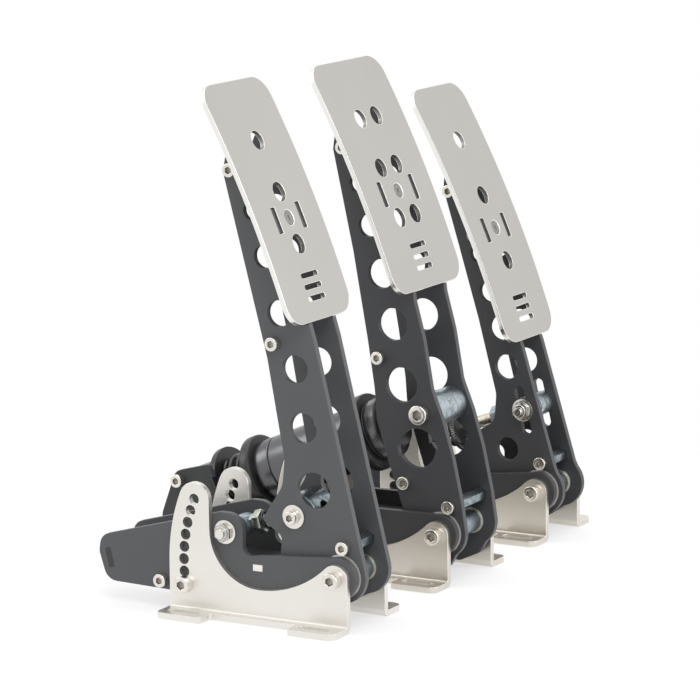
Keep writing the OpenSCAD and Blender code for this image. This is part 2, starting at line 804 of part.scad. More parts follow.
function brake_arm_outline() = concat(
  [[-15.7, 3]],
  rounded([[-13.4, 18.6, 0], [-7.3, 46.8, 40], [-0.3, 70, 30], [7, 88, 20], [12.4, 119, 40],
    [18.6, 142, 0]], 3),
  face_edge(brake, 34),
  rounded([[behind_face(brake, 40)[0], behind_face(brake, 40)[1], 0],
    [75, 236, 4], [60.6, 170, 60], [51, 116, 60], [46.4, 86, 12], [45, 66, 12],
    [36, 38, 20], [24, 4, 6], [25, -24, 6], [9, -27, 6], [-5, -20.5, 4], [-14.5, -4.5, 0]], 5)
);

function throttle_arm_outline() = concat(
  [[-15.4, 3.5]],
  rounded([[-10, 14.4, 0], [11, 84, 20], [13.4, 92, 0]], 3),
  face_edge(throttle, 26),
  rounded([[behind_face(throttle, 32)[0], behind_face(throttle, 32)[1], 0],
    [69.4, 196, 4], [58, 153, 60], [44.4, 108, 60], [31.8, 60, 12], [33, 42, 8],
    [55, 28, 3], [40, 18, 5], [40, 4, 6], [25, -21, 7], [8, -23.5, 5], [-12, -9.5, 0]], 5)
);

// Tab of an arm plate in its slot of the face plate, a little below the plate's front
tab_recess = 1.2;
function tab_outline(p) =
  let (h = face_slot_len / 2 - screw_slip, root = face_t + 3)
  [for (q = [[-h, root], [-h, tab_recess], [h, tab_recess], [h, root]])
    face_pt(p, q[0], q[1]) - [0, pivot_z]];

// Slot along the throttle's arm that sets its leverage
module lever_slot(x) {
  translate([x, lever_at[0], lever_at[1]]) rotate([-lever_slot_lean, 0, 0]) {
    run = (lever_slot_len - m6[0]) / 2;
    for (s = [-1, 1]) translate([0, 0, s * run]) rotate([0, 90, 0])
      cylinder(h = arm_t + 2, d = m6[0] + 2 * screw_slip);
    translate([0, -m6[0] / 2 - screw_slip, -run])
      cube([arm_t + 2, m6[0] + 2 * screw_slip, 2 * run]);
  }
}

// Right-hand arm plate
module arm_plate(p) {
  x = arm_in[p];
  pts = p == clutch ? clutch_arm_outline()
    : p == brake ? brake_arm_outline() : throttle_arm_outline();
  difference() {
    union() {
      translate([0, 0, pivot_z]) {
        side_plate(x, arm_t, pts);
        side_plate(x, arm_t, tab_outline(p));
        bar_x(x, x + arm_t, [0, 0], 2 * arm_end_r);
      }
    }
    bar_x(x - 1, x + arm_t + 1, [0, pivot_z], bush_d);
    for (s = arm_screw_at[p])
      bar_x(x - 1, x + arm_t + 1, s + [0, pivot_z], m5[0] + 2 * screw_slip);
    for (h = arm_hole_at[p])
      bar_x(x - 1, x + arm_t + 1, [h[0], h[1] + pivot_z], h[2]);
    bar_x(x - 1, x + arm_t + 1, face_block_at(p), m5[0] + 2 * screw_slip);
    if (p == clutch)
      bar_x(x - 1, x + arm_t + 1, barrel_at, m5[0] + 2 * screw_slip);
    if (p == brake) {
      bar_x(x - 1, x + arm_t + 1, cross_at, m8[0] + 2 * screw_slip);
      for (s = [-1, 1]) translate([x - 1, arm_hole_at[brake][0][0], arm_hole_at[brake][0][1] + pivot_z])
        rotate([-12, 0, 0]) translate([0, s * 11.5 - 2, -3]) cube([arm_t + 2, 4, 6]);
    }
    if (p == throttle) lever_slot(x - 1);
  }
}

bush_d = axle_d + 2;
bush_flange_d = sleeve_d + 1.6;
bush_flange_t = 1;

module arm_right(p) {
  color([0.2, 0.2, 0.21]) at_pedal(p) arm_plate(p);
}

module arm_left(p) {
  color([0.2, 0.2, 0.21]) at_pedal(p) mirror([1, 0, 0]) arm_plate(p);
}

module pivot_sleeve(p) {
  half = arm_in[p] - bush_flange_t;
  color([0.6, 0.64, 0.68]) at_pedal(p)
    tube_x(-half, half, [0, pivot_z], sleeve_d, axle_d + 2 * loose);
}

module pivot_bushes(p) {
  color([0.76, 0.66, 0.42]) at_pedal(p)
    for (s = [0, 1]) mirror([s, 0, 0]) difference() {
      union() {
        bar_x(arm_in[p] - bush_flange_t, arm_in[p], [0, pivot_z], bush_flange_d);
        bar_x(arm_in[p] - eps, arm_out[p], [0, pivot_z], bush_d);
      }
      bar_x(arm_in[p] - 2, arm_out[p] + 1, [0, pivot_z], axle_d + 2 * slip);
    }
}

module arm_spacers(p) {
  color([0.6, 0.64, 0.68]) at_pedal(p)
    for (s = arm_screw_at[p]) spacer(arm_in[p], s + [0, pivot_z], hex5, m5[0]);
}

// Screws of one pedal's arm plates, and the countersunk screw of its face plate
module arm_screws(p) {
  reach = arm_t + 7;
  color([0.8, 0.79, 0.77]) at_pedal(p) {
    for (s = arm_screw_at[p]) screw_pair(arm_out[p], s + [0, pivot_z], m5, reach);
    screw_pair(arm_out[p], face_block_at(p), m5, reach);
    if (p == clutch) {
      for (s = [0, 1]) mirror([s, 0, 0])
        tube_x(arm_out[p], arm_out[p] + plain_washer_t, barrel_at,
          wide_washer_d, m5[0] + 2 * slip);
      screw_pair(arm_out[p] + plain_washer_t, barrel_at, m5, reach);
    }
    if (p == brake) screw_pair(arm_out[p], cross_at, m8, arm_t + 8);
    if (p == throttle) lever_bolt();
    face_screw(p);
  }
}

// Bolt through the throttle's leverage slots, with washers and a locking nut
module lever_bolt() {
  x = arm_out[throttle];
  difference() {
    union() {
      bar_x(-x - plain_washer_t - nut6_h - 2 * bolt_tip, x + plain_washer_t + 1, lever_at, m6[0]);
      bar_x(x + plain_washer_t, x + plain_washer_t + m6[2] - 1.5, lever_at, m6[1]);
    }
    hex_x(x + plain_washer_t + 2, x + plain_washer_t + m6[2] + 1, lever_at, m6[3]);
  }
  for (s = [0, 1]) mirror([s, 0, 0])
    tube_x(x, x + plain_washer_t, lever_at, wide_washer_d, m6[0] + 2 * slip);
  difference() {
    hex_x(-x - plain_washer_t - nut6_h, -x - plain_washer_t, lever_at, hex6);
    bar_x(-x - 20, -x, lever_at, m6[0] + 2 * slip);
  }
}

// Middle of the block that takes the face plate's screw
function face_block_at(p) = face_pt(p, 0, face_t + slip + block_d / 2);

// Turns to the plate's own directions at its screw: X across, Y up the plate, Z out of it
module on_face(p) {
  translate([0, face_y[p], face_z[p]]) rotate([90 - face_lean, 0, 0]) children();
}

module face_screw(p) {
  flat_head = face_screw_head_d / 2 - m5[0] / 2;
  on_face(p) difference() {
    union() {
      translate([0, 0, -flat_head]) cylinder(h = flat_head, d1 = m5[0], d2 = face_screw_head_d);
      translate([0, 0, -face_t - 9]) cylinder(h = face_t + 9 - flat_head + eps, d = m5[0]);
    }
    translate([0, 0, -1.6]) cylinder(h = 3, d = 3 / cos(30), $fn = 6);
  }
}

// Bar between the arm plates that the face plate is screwed to
module face_block(p) {
  color([0.16, 0.16, 0.17]) at_pedal(p) difference() {
    on_face(p) translate([-arm_in[p], -block_h / 2, -face_t - slip - block_d])
      cube([2 * arm_in[p], block_h, block_d]);
    on_face(p) translate([0, 0, -face_t - block_d]) cylinder(h = block_d + 1, d = m5[0] + 2 * slip);
    for (s = [-1, 1]) translate([s * arm_in[p], face_block_at(p)[0], face_block_at(p)[1]])
      rotate([0, 90, 0]) cylinder(h = 16, d = m5[0] + 2 * slip, center = true);
  }
}

// Outline of a face plate, laid flat: X across, Y up the plate
function face_outline(p) =
  let (w = face_w[p] / 2)
  rounded([
    [-w, -face_bottom[p], face_corner_r],
    [w, -face_bottom[p], face_corner_r],
    [w, face_top[p], face_corner_r],
    [-w, face_top[p], face_corner_r]
  ], 8);

// Curved face plate with its grip holes, tab slots, screw hole and three grip grooves
groove_w = 3;
groove_pitch = 7;
module face_plate(p) {
  color([0.76, 0.75, 0.73]) at_pedal(p) difference() {
    intersection() {
      translate([0, face_y[p], face_z[p]])
        translate([0, face_curve_r * cos(face_lean), -face_curve_r * sin(face_lean)])
          rotate([0, 90, 0]) difference() {
            cylinder(h = 2 * face_w[p], r = face_curve_r, center = true, $fn = 1440);
            cylinder(h = 3 * face_w[p], r = face_curve_r - face_t, center = true, $fn = 1440);
          }
      on_face(p) translate([0, 0, -20]) linear_extrude(height = 30) polygon(face_outline(p));
    }
    on_face(p) {
      for (h = face_holes[p])
        for (x = p == brake ? [-face_hole_x[p], face_hole_x[p]] : [0])
          translate([x, h, -30]) cylinder(h = 60, d = face_hole_d);
      translate([0, 0, -30]) cylinder(h = 60, d = m5[0] + 2 * screw_slip);
      translate([0, 0, -face_screw_head_d / 2 + m5[0] / 2])
        cylinder(h = face_screw_head_d / 2, d1 = m5[0] + 0.2, d2 = face_screw_head_d * 2 - m5[0] + 0.2);
      for (s = [-1, 1])
        translate([s * face_slot_side[p] - face_slot_w / 2, -face_slot_len / 2, -30])
          cube([face_slot_w, face_slot_len, 60]);
      for (i = [-1:1])
        translate([0, -face_bottom[p] + 20 + i * groove_pitch, -30]) {
          translate([-8, -groove_w / 2, 0]) cube([16, groove_w, 60]);
          for (s = [-8, 8]) translate([s, 0, 0]) cylinder(h = 60, d = groove_w);
        }
    }
  }
}

// Clutch link: a barrel on the arm, bored across for the slide rod
module clutch_link_barrel() {
  half = arm_in[clutch] - 0.2;
  color([0.6, 0.64, 0.68]) at_pedal(clutch) difference() {
    bar_x(-half, half, barrel_at, barrel_d);
    for (s = [-1, 1]) translate([s * half, barrel_at[0], barrel_at[1]])
      rotate([0, 90, 0]) cylinder(h = 15, d = m5[0] + 2 * slip, center = true);
    on_link(link_span - barrel_d) cylinder(h = 2 * barrel_d, d = slide_rod_d + 2 * barrel_slack);
  }
}

module clutch_slide_rod() {
  color([0.55, 0.57, 0.6]) at_pedal(clutch) difference() {
    union() {
      bar_x(-trunnion_w / 2, trunnion_w / 2, anchor_at, trunnion_d);
      on_link(0) cylinder(h = link_span + 4, d = slide_rod_d);
    }
    bar_x(-trunnion_w, trunnion_w, anchor_at, m6[0] + 2 * slip);
  }
}

// Locking nut and spring seat on the clutch's slide rod
nuts_at = trunnion_d / 2;
module clutch_rod_nuts() {
  color([0.7, 0.7, 0.66]) at_pedal(clutch) {
    on_link(nuts_at) difference() {
      cylinder(h = lock_nut_w, d = lock_nut_d * 1.2, $fn = 6);
      translate([0, 0, -1]) cylinder(h = lock_nut_w + 2, d = slide_rod_d + 2 * slip);
    }
    on_link(nuts_at + lock_nut_w) difference() {
      cylinder(h = seat_nut_w, d = seat_nut_af / cos(30), $fn = 6);
      translate([0, 0, -1]) cylinder(h = seat_nut_w + 2, d = slide_rod_d + 2 * slip);
    }
  }
}

// Open coil between two seats, with its wire's ends just clear of them
module spring_between(at0, at1, d_out, wire, turns) {
  run = at1 - at0 - wire - 2 * spring_seat_gap;
  path = coil((d_out - wire) / 2, run, turns);
  echo(str("least gap between curls: ", coil_gap(path, wire), " mm"));
  translate([0, 0, wire / 2 + spring_seat_gap]) tube_along(path, wire);
}

clutch_spring_start = nuts_at + lock_nut_w + seat_nut_w;
module clutch_spring() {
  color([0.15, 0.15, 0.16]) at_pedal(clutch) on_link(clutch_spring_start)
    spring_between(0, link_span - barrel_d / 2 - clutch_spring_start,
      clutch_spring_d, clutch_wire, 3);
}

// Brake unit
module brake_cross_tube() {
  half = arm_in[brake] - 0.2;
  color([0.6, 0.64, 0.68]) at_pedal(brake) difference() {
    bar_x(-half, half, cross_at, cross_d);
    for (s = [-1, 1]) translate([s * half, cross_at[0], cross_at[1]])
      rotate([0, 90, 0]) cylinder(h = 18, d = m8[0] + 2 * slip, center = true);
    on_unit(-cross_d) cylinder(h = 2 * cross_d, d = push_rod_d + 2 * slip);
  }
}

module brake_push_rod() {
  color([0.5, 0.52, 0.55]) at_pedal(brake)
    on_unit(-cross_d / 2 + 1)
      cylinder(h = reaction_at + reaction_t + cell_len + rod_tail - 1 + cross_d / 2 - 1, d = push_rod_d);
}

// Round disc with a bevel at either end
ring_bevel = 1;
module bevelled_disc(d, h) {
  translate([0, 0, ring_bevel]) cylinder(h = h - 2 * ring_bevel, d = d);
  cylinder(h = ring_bevel + eps, d1 = d - 2 * ring_bevel, d2 = d);
  translate([0, 0, h - ring_bevel - eps])
    cylinder(h = ring_bevel + eps, d1 = d, d2 = d - 2 * ring_bevel);
}

module brake_preload_ring() {
  color([0.12, 0.12, 0.13]) at_pedal(brake) on_unit(flange_at - ring_w - collar_w - loose)
    difference() {
      union() {
        cylinder(h = collar_w + eps, d = collar_d);
        translate([0, 0, collar_w]) bevelled_disc(ring_d, ring_w);
      }
      translate([0, 0, -1]) cylinder(h = ring_w + collar_w + 2, d = push_rod_d + 2 * slip);
    }
}

module brake_front_flange() {
  color([0.12, 0.12, 0.13]) at_pedal(brake) on_unit(flange_at) difference() {
    cylinder(h = flange_t, d = flange_d);
    translate([0, 0, -1]) cylinder(h = flange_t + 2, d = push_rod_d + 2 * slip);
  }
}

module brake_housing() {
  start = flange_at + flange_t;
  color([0.13, 0.13, 0.14]) at_pedal(brake) difference() {
    union() {
      on_unit(start) cylinder(h = housing_end - start, d = housing_d);
      on_unit(housing_end - rear_flange_t) cylinder(h = rear_flange_t, d = flange_d);
    }
    on_unit(start - 1) cylinder(h = housing_end - start + 2, d = push_rod_d + 2 * slip);
    on_unit(seam_at) difference() {
      cylinder(h = seam_w, d = housing_d + 2);
      translate([0, 0, -1]) cylinder(h = seam_w + 2, d = housing_d - 2 * seam_w);
    }
  }
}

module brake_spring() {
  color([0.12, 0.12, 0.13]) at_pedal(brake) on_unit(housing_end)
    spring_between(0, reaction_at - housing_end, brake_spring_d, brake_wire, 2.75);
}

// Throttle link
module throttle_lever_spacer() {
  half = arm_in[throttle];
  color([0.6, 0.64, 0.68]) at_pedal(throttle)
    for (s = [0, 1]) mirror([s, 0, 0])
      tube_x(rod_eye_w / 2 + loose, half, lever_at, lever_spacer_d, m6[0] + 2 * slip);
}

module throttle_rod() {
  color([0.72, 0.66, 0.45]) at_pedal(throttle) difference() {
    union() {
      bar_x(-rod_eye_w / 2, rod_eye_w / 2, lever_at, rod_eye_d);
      on_rod(0) cylinder(h = guide_span + 24, d = throttle_rod_d);
      on_rod(rod_nut_at) cylinder(h = rod_nut_w, d = 13 / cos(30), $fn = 6);
    }
    bar_x(-rod_eye_w, rod_eye_w, lever_at, m6[0] + 2 * slip);
  }
}

module throttle_preload_ring() {
  color([0.12, 0.12, 0.13]) at_pedal(throttle) on_rod(throttle_ring_at) difference() {
    bevelled_disc(throttle_ring_d, throttle_ring_w);
    translate([0, 0, -1]) cylinder(h = throttle_ring_w + 2, d = throttle_rod_d + 2 * slip);
  }
}

module throttle_spring() {
  start = throttle_ring_at + throttle_ring_w;
  color([0.12, 0.12, 0.13]) at_pedal(throttle) on_rod(start)
    spring_between(0, guide_span - guide_d / 2 - start, throttle_spring_d, throttle_wire, 7);
}

foot_left(clutch);  // clutch_foot_left
foot_right(clutch);  // clutch_foot_right
foot_left(brake);  // brake_foot_left
foot_right(brake);  // brake_foot_right
foot_left(throttle);  // throttle_foot_left
foot_right(throttle);  // throttle_foot_right
frame_left(clutch);  // clutch_frame_left
frame_right(clutch);  // clutch_frame_right
frame_left(brake);  // brake_frame_left
frame_right(brake);  // brake_frame_right
frame_left(throttle);  // throttle_frame_left
frame_right(throttle);  // throttle_frame_right
pivot_axles();
pivot_washers();
foot_screws();
frame_spacers();
frame_screws();
frame_webs();
clutch_anchor_bolt();
brake_reaction_plate();
brake_load_cell();
throttle_guide();
sensor_housings();
arm_left(clutch);  // clutch_arm_left
arm_right(clutch);  // clutch_arm_right
face_plate(clutch);  // clutch_face_plate
face_block(clutch);  // clutch_face_block
arm_spacers(clutch);  // clutch_arm_spacers
arm_screws(clutch);  // clutch_arm_screws
pivot_sleeve(clutch);  // clutch_pivot_sleeve
pivot_bushes(clutch);  // clutch_pivot_bushes
arm_left(brake);  // brake_arm_left
arm_right(brake);  // brake_arm_right
face_plate(brake);  // brake_face_plate
face_block(brake);  // brake_face_block
arm_spacers(brake);  // brake_arm_spacers
arm_screws(brake);  // brake_arm_screws
pivot_sleeve(brake);  // brake_pivot_sleeve
pivot_bushes(brake);  // brake_pivot_bushes
arm_left(throttle);  // throttle_arm_left
arm_right(throttle);  // throttle_arm_right
face_plate(throttle);  // throttle_face_plate
face_block(throttle);  // throttle_face_block
arm_spacers(throttle);  // throttle_arm_spacers
arm_screws(throttle);  // throttle_arm_screws
pivot_sleeve(throttle);  // throttle_pivot_sleeve
pivot_bushes(throttle);  // throttle_pivot_bushes
clutch_link_barrel();
clutch_slide_rod();
clutch_rod_nuts();
clutch_spring();
brake_cross_tube();
brake_push_rod();
brake_preload_ring();
brake_front_flange();
brake_housing();
brake_spring();
throttle_lever_spacer();
throttle_rod();
throttle_preload_ring();
throttle_spring();
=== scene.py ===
import bpy
import math
from mathutils import Matrix, Quaternion, Vector


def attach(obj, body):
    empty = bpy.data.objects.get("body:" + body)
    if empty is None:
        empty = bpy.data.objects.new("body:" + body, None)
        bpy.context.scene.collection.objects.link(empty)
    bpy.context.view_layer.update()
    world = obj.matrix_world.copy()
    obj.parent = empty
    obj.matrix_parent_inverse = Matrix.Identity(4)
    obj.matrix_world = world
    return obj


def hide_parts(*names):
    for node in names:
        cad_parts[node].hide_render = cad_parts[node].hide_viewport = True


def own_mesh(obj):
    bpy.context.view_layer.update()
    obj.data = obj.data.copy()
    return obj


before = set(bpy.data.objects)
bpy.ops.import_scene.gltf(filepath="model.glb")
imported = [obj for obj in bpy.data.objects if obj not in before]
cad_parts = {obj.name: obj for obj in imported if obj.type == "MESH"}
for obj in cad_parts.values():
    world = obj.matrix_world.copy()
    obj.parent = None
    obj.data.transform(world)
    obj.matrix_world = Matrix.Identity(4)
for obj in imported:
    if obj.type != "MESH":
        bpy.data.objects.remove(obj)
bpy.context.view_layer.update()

# Camera

cameraSetup = {
    "place": (-2.0573, -1.15745, 0.5699),
    "looking": (0.85993, 0.47709, -0.18139),
    "roll": -0.445,  # degrees
    "lens": 198.44,
    "sensor": 36.0,
}

cameraData = bpy.data.cameras.new("photoCamera")
cameraData.lens = cameraSetup["lens"]
cameraData.sensor_width = cameraSetup["sensor"]
cameraData.clip_end = 50
camera = bpy.data.objects.new("photoCamera", cameraData)
bpy.context.collection.objects.link(camera)
turn = Vector(cameraSetup["looking"]).to_track_quat("-Z", "Y")
turn = turn @ Quaternion((0, 0, 1), math.radians(cameraSetup["roll"]))
camera.matrix_world = Matrix.Translation(cameraSetup["place"]) @ turn.to_matrix().to_4x4()
bpy.context.scene.camera = camera
print("camera placed")

# Places shared by the pieces, in millimetres

pedalX = {"clutch": -131.25, "brake": 1.25, "throttle": 131.25}
frontOffset = 90.955  # the pivots stand this far before the middle of the whole set
pivotHeight = 32.0
armOuter = {"clutch": 16.0, "brake": 22.0, "throttle": 16.0}
frameOuter = {"clutch": 21.0, "brake": 27.0, "throttle": 21.0}
footOuter = {"clutch": 25.0, "brake": 31.0, "throttle": 25.0}
faceLean = math.radians(23.3)  # of the face plates, at their screws
unitSlope = math.radians(23.3)
rodSlope = math.radians(20.1)
faceScrewAt = {"clutch": (41.8, 238.8), "brake": (40.8, 237.8), "throttle": (40.0, 197.3)}
lowScrewReach = 17.9  # from the pivot to an arm's lowest screw, beside the washer
holeRow = 102.0  # from the pivot to the feet's row of angle holes


def roundPivot(reach, angle):
    turned = math.radians(angle)
    return reach * math.cos(turned), pivotHeight + reach * math.sin(turned)


armScrewAt = {
    "clutch": [(70.6, 267.2), (43.4, 166.8), roundPivot(lowScrewReach, 98)],
    "brake": [(66.0, 265.8), (42.4, 137.6), (25.0, 61.2), roundPivot(lowScrewReach, 109)],
    "throttle": [(64.1, 221.6), roundPivot(lowScrewReach, 94)],
}
anchorAt = (75.3, 52.0)
barrelAt = (31.5, 64.7)
crossAt = (13.5, 105.0)
leverAt = (12.5, 83.0)
guideAt = (140.0, 36.34)  # where the throttle rod passes the frame
lowHole = roundPivot(holeRow, -7.6)
tailScrewAt = {"clutch": (119.3, 18.2), "brake": (184.61, 47.6), "throttle": (119.3, 18.0)}
linkSlope = math.atan2(barrelAt[1] - anchorAt[1], anchorAt[0] - barrelAt[0])


def spot(pedal, x, yz):  # a point beside one pedal, in metres
    return Vector((pedalX[pedal] + x, yz[0] - frontOffset, yz[1])) / 1000


# Small helpers for modelling

def deselectAll():
    if bpy.context.mode != "OBJECT":
        bpy.ops.object.mode_set(mode="OBJECT")
    bpy.ops.object.select_all(action="DESELECT")


def makeActive(piece):
    deselectAll()
    piece.select_set(True)
    bpy.context.view_layer.objects.active = piece


def editAll(piece):  # into edit mode with everything selected
    makeActive(piece)
    bpy.ops.object.mode_set(mode="EDIT")
    bpy.ops.mesh.select_all(action="SELECT")


def newObject(name, data):
    item = bpy.data.objects.new(name, data)
    bpy.context.collection.objects.link(item)
    return item


def applyModifiers(piece):
    makeActive(piece)
    for modifier in list(piece.modifiers):
        bpy.ops.object.modifier_apply(modifier=modifier.name)


def settle(piece):  # puts the place into the mesh
    makeActive(piece)
    bpy.ops.object.transform_apply(location=True, rotation=True, scale=True)


def joinAll(pieces, name):
    deselectAll()
    for piece in pieces:
        piece.select_set(True)
    bpy.context.view_layer.objects.active = pieces[0]
    if len(pieces) > 1:
        bpy.ops.object.join()
    result = bpy.context.view_layer.objects.active
    settle(result)
    result.name = name
    return result


def smoothSharp(piece, angle=35):
    makeActive(piece)
    bpy.ops.object.shade_smooth_by_angle(angle=math.radians(angle))


def evenNormals(piece):  # keeps large flat faces flat beside their rounded edges
    weighted = piece.modifiers.new("evenNormals", "WEIGHTED_NORMAL")
    weighted.keep_sharp = True
    weighted.weight = 90
    applyModifiers(piece)


def paint(piece, *materials):
    piece.data.materials.clear()
    for material in materials:
        piece.data.materials.append(material)


def roundEdges(piece, width, segments=2, angle=40, slot=-1):  # millimetres
    bevel = piece.modifiers.new("edgeRound", "BEVEL")
    bevel.width = width / 1000
    bevel.segments = segments
    bevel.limit_method = "ANGLE"
    bevel.angle_limit = math.radians(angle)
    bevel.use_clamp_overlap = False
    bevel.material = slot
    applyModifiers(piece)


def cylinderPiece(radius, length, sides=64, middle=0.0):  # along Z, in millimetres
    deselectAll()
    bpy.ops.mesh.primitive_cylinder_add(vertices=sides, radius=radius / 1000, depth=length / 1000,
                                        location=(0, 0, middle / 1000))
    piece = bpy.context.active_object
    settle(piece)
    return piece


def cutAway(piece, cutter):
    cut = piece.modifiers.new("cut", "BOOLEAN")
    cut.operation = "DIFFERENCE"
    cut.solver = "EXACT"
    cut.object = cutter
    applyModifiers(piece)
    bpy.data.objects.remove(cutter, do_unlink=True)


def hexPiece(flats, height, middle):  # six-sided
    corner = flats / 2 / math.cos(math.radians(30))
    return cylinderPiece(corner, height, 6, middle)


def copyOf(piece):
    return newObject(piece.name + "Copy", piece.data.copy())


def standAlong(piece, place, direction):  # turns +Z of the piece to the direction
    quat = Vector(direction).to_track_quat("Z", "Y")
    piece.matrix_world = Matrix.Translation(place) @ quat.to_matrix().to_4x4()
    settle(piece)


def finishPiece(piece, body, nodes):
    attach(piece, body)
    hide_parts(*nodes)


# Shader node groups

def newGroup(name, inputs, outputs):
    group = bpy.data.node_groups.new(name, "ShaderNodeTree")
    for label, kind, value in inputs:
        socket = group.interface.new_socket(name=label, in_out="INPUT", socket_type=kind)
        socket.default_value = value
    for label, kind in outputs:
        group.interface.new_socket(name=label, in_out="OUTPUT", socket_type=kind)
    entry = group.nodes.new("NodeGroupInput")
    leave = group.nodes.new("NodeGroupOutput")
    entry.location = (-900, 0)
    leave.location = (500, 0)
    return group, entry, leave


def addNode(tree, kind, place, **settings):
    item = tree.nodes.new(kind)
    item.location = place
    for key, value in settings.items():
        setattr(item, key, value)
    return item


def makeGrainGroup():  # fine speckle of powder coat or blasted steel, with slow clouds
    group, entry, leave = newGroup(
        "fineGrain",
        [("Scale", "NodeSocketFloat", 2500.0), ("Cloud Scale", "NodeSocketFloat", 18.0)],
        [("Grain", "NodeSocketFloat"), ("Cloud", "NodeSocketFloat")])
    links = group.links
    coords = addNode(group, "ShaderNodeTexCoord", (-900, -200))
    fine = addNode(group, "ShaderNodeTexNoise", (-500, 150))
    fine.inputs["Detail"].default_value = 4
    fine.inputs["Roughness"].default_value = 0.65
    slow = addNode(group, "ShaderNodeTexNoise", (-500, -200))
    slow.inputs["Detail"].default_value = 3
    slow.inputs["Distortion"].default_value = 0.4
    links.new(coords.outputs["Object"], fine.inputs["Vector"])
    links.new(coords.outputs["Object"], slow.inputs["Vector"])
    links.new(entry.outputs["Scale"], fine.inputs["Scale"])
    links.new(entry.outputs["Cloud Scale"], slow.inputs["Scale"])
    links.new(fine.outputs["Fac"], leave.inputs["Grain"])
    links.new(slow.outputs["Fac"], leave.inputs["Cloud"])
    return group


def makeBrushGroup():  # long fine lines, stretched along one axis
    group, entry, leave = newGroup(
        "brushLines",
        [("Stretch", "NodeSocketVector", (300.0, 4.0, 300.0)), ("Scale", "NodeSocketFloat", 6.0)],
        [("Lines", "NodeSocketFloat")])
    links = group.links
    coords = addNode(group, "ShaderNodeTexCoord", (-900, -200))
    multiply = addNode(group, "ShaderNodeVectorMath", (-600, 0), operation="MULTIPLY")
    lines = addNode(group, "ShaderNodeTexNoise", (-300, 0))
    lines.inputs["Detail"].default_value = 3
    links.new(coords.outputs["Object"], multiply.inputs[0])
    links.new(entry.outputs["Stretch"], multiply.inputs[1])
    links.new(multiply.outputs["Vector"], lines.inputs["Vector"])
    links.new(entry.outputs["Scale"], lines.inputs["Scale"])
    links.new(lines.outputs["Fac"], leave.inputs["Lines"])
    return group


def makePlatingGroup():  # uneven tint and streaks of a zinc bath
    group, entry, leave = newGroup(
        "zincPlating",
        [("Light", "NodeSocketColor", (0.6, 0.66, 0.68, 1)),
         ("Dark", "NodeSocketColor", (0.2, 0.27, 0.31, 1)),
         ("Scale", "NodeSocketFloat", 90.0)],
        [("Color", "NodeSocketColor"), ("Mask", "NodeSocketFloat")])
    links = group.links
    coords = addNode(group, "ShaderNodeTexCoord", (-900, -200))
    patches = addNode(group, "ShaderNodeTexNoise", (-500, 100))
    patches.inputs["Detail"].default_value = 5
    patches.inputs["Distortion"].default_value = 1.6
    ramp = addNode(group, "ShaderNodeValToRGB", (-250, 100))
    ramp.color_ramp.elements[0].position = 0.35
    ramp.color_ramp.elements[1].position = 0.65
    mix = addNode(group, "ShaderNodeMix", (100, 100), data_type="RGBA")
    links.new(coords.outputs["Object"], patches.inputs["Vector"])
    links.new(entry.outputs["Scale"], patches.inputs["Scale"])
    links.new(patches.outputs["Fac"], ramp.inputs["Fac"])
    links.new(ramp.outputs["Color"], mix.inputs["Factor"])
    links.new(entry.outputs["Dark"], mix.inputs["A"])
    links.new(entry.outputs["Light"], mix.inputs["B"])
    links.new(mix.outputs["Result"], leave.inputs["Color"])
    links.new(ramp.outputs["Color"], leave.inputs["Mask"])
    return group


grainGroup = makeGrainGroup()
brushGroup = makeBrushGroup()
platingGroup = makePlatingGroup()
print("node groups ready")


# Materials

def startMaterial(name):
    material = bpy.data.materials.new(name)
    material.use_nodes = True
    tree = material.node_tree
    shader = tree.nodes["Principled BSDF"]
    return material, tree, shader


def placeGroup(tree, group, place, **values):
    item = addNode(tree, "ShaderNodeGroup", place)
    item.node_tree = group
    for label, value in values.items():
        item.inputs[label.replace("_", " ")].default_value = value
    return item


noiseSpan = (0.3, 0.7)  # most of a noise lies between these


def mapValue(tree, source, target, low, high, place):
    remap = addNode(tree, "ShaderNodeMapRange", place)
    remap.inputs["From Min"].default_value = noiseSpan[0]
    remap.inputs["From Max"].default_value = noiseSpan[1]
    remap.inputs["To Min"].default_value = low
    remap.inputs["To Max"].default_value = high
    tree.links.new(source, remap.inputs["Value"])
    tree.links.new(remap.outputs["Result"], target)


def mixColors(tree, factor, first, second, target, place):
    mix = addNode(tree, "ShaderNodeMix", place, data_type="RGBA")
    mix.inputs["A"].default_value = (*first, 1)
    mix.inputs["B"].default_value = (*second, 1)
    tree.links.new(factor, mix.inputs["Factor"])
    tree.links.new(mix.outputs["Result"], target)


def addBump(tree, shader, source, relief):
    bump = addNode(tree, "ShaderNodeBump", (-250, -350))
    bump.inputs["Strength"].default_value = relief["strength"]
    bump.inputs["Distance"].default_value = relief["depth"]
    tree.links.new(source, bump.inputs["Height"])
    tree.links.new(bump.outputs["Normal"], shader.inputs["Normal"])


coatGrain = {"scale": 1900.0, "clouds": 22.0, "strength": 0.35, "depth": 0.00012}
steelGrain = {"scale": 2600.0, "clouds": 14.0, "strength": 0.2, "depth": 0.00006}
zincLines = {"scale": 6.0, "stretch": (30.0, 160.0, 160.0), "strength": 0.05, "depth": 0.00003}


def grainyFinish(tree, shader, look, first, second, roughLow, roughHigh):
    grain = placeGroup(tree, grainGroup, (-700, 0), Scale=look["scale"], Cloud_Scale=look["clouds"])
    mixColors(tree, grain.outputs["Cloud"], first, second, shader.inputs["Base Color"], (-350, 200))
    mapValue(tree, grain.outputs["Grain"], shader.inputs["Roughness"], roughLow, roughHigh, (-350, 0))
    addBump(tree, shader, grain.outputs["Grain"], look)


def powderCoat(name, *values):
    material, tree, shader = startMaterial(name)
    grainyFinish(tree, shader, coatGrain, *values)
    return material


def blastedSteel(name, *values):
    material, tree, shader = startMaterial(name)
    shader.inputs["Metallic"].default_value = 1.0
    grainyFinish(tree, shader, steelGrain, *values)
    return material


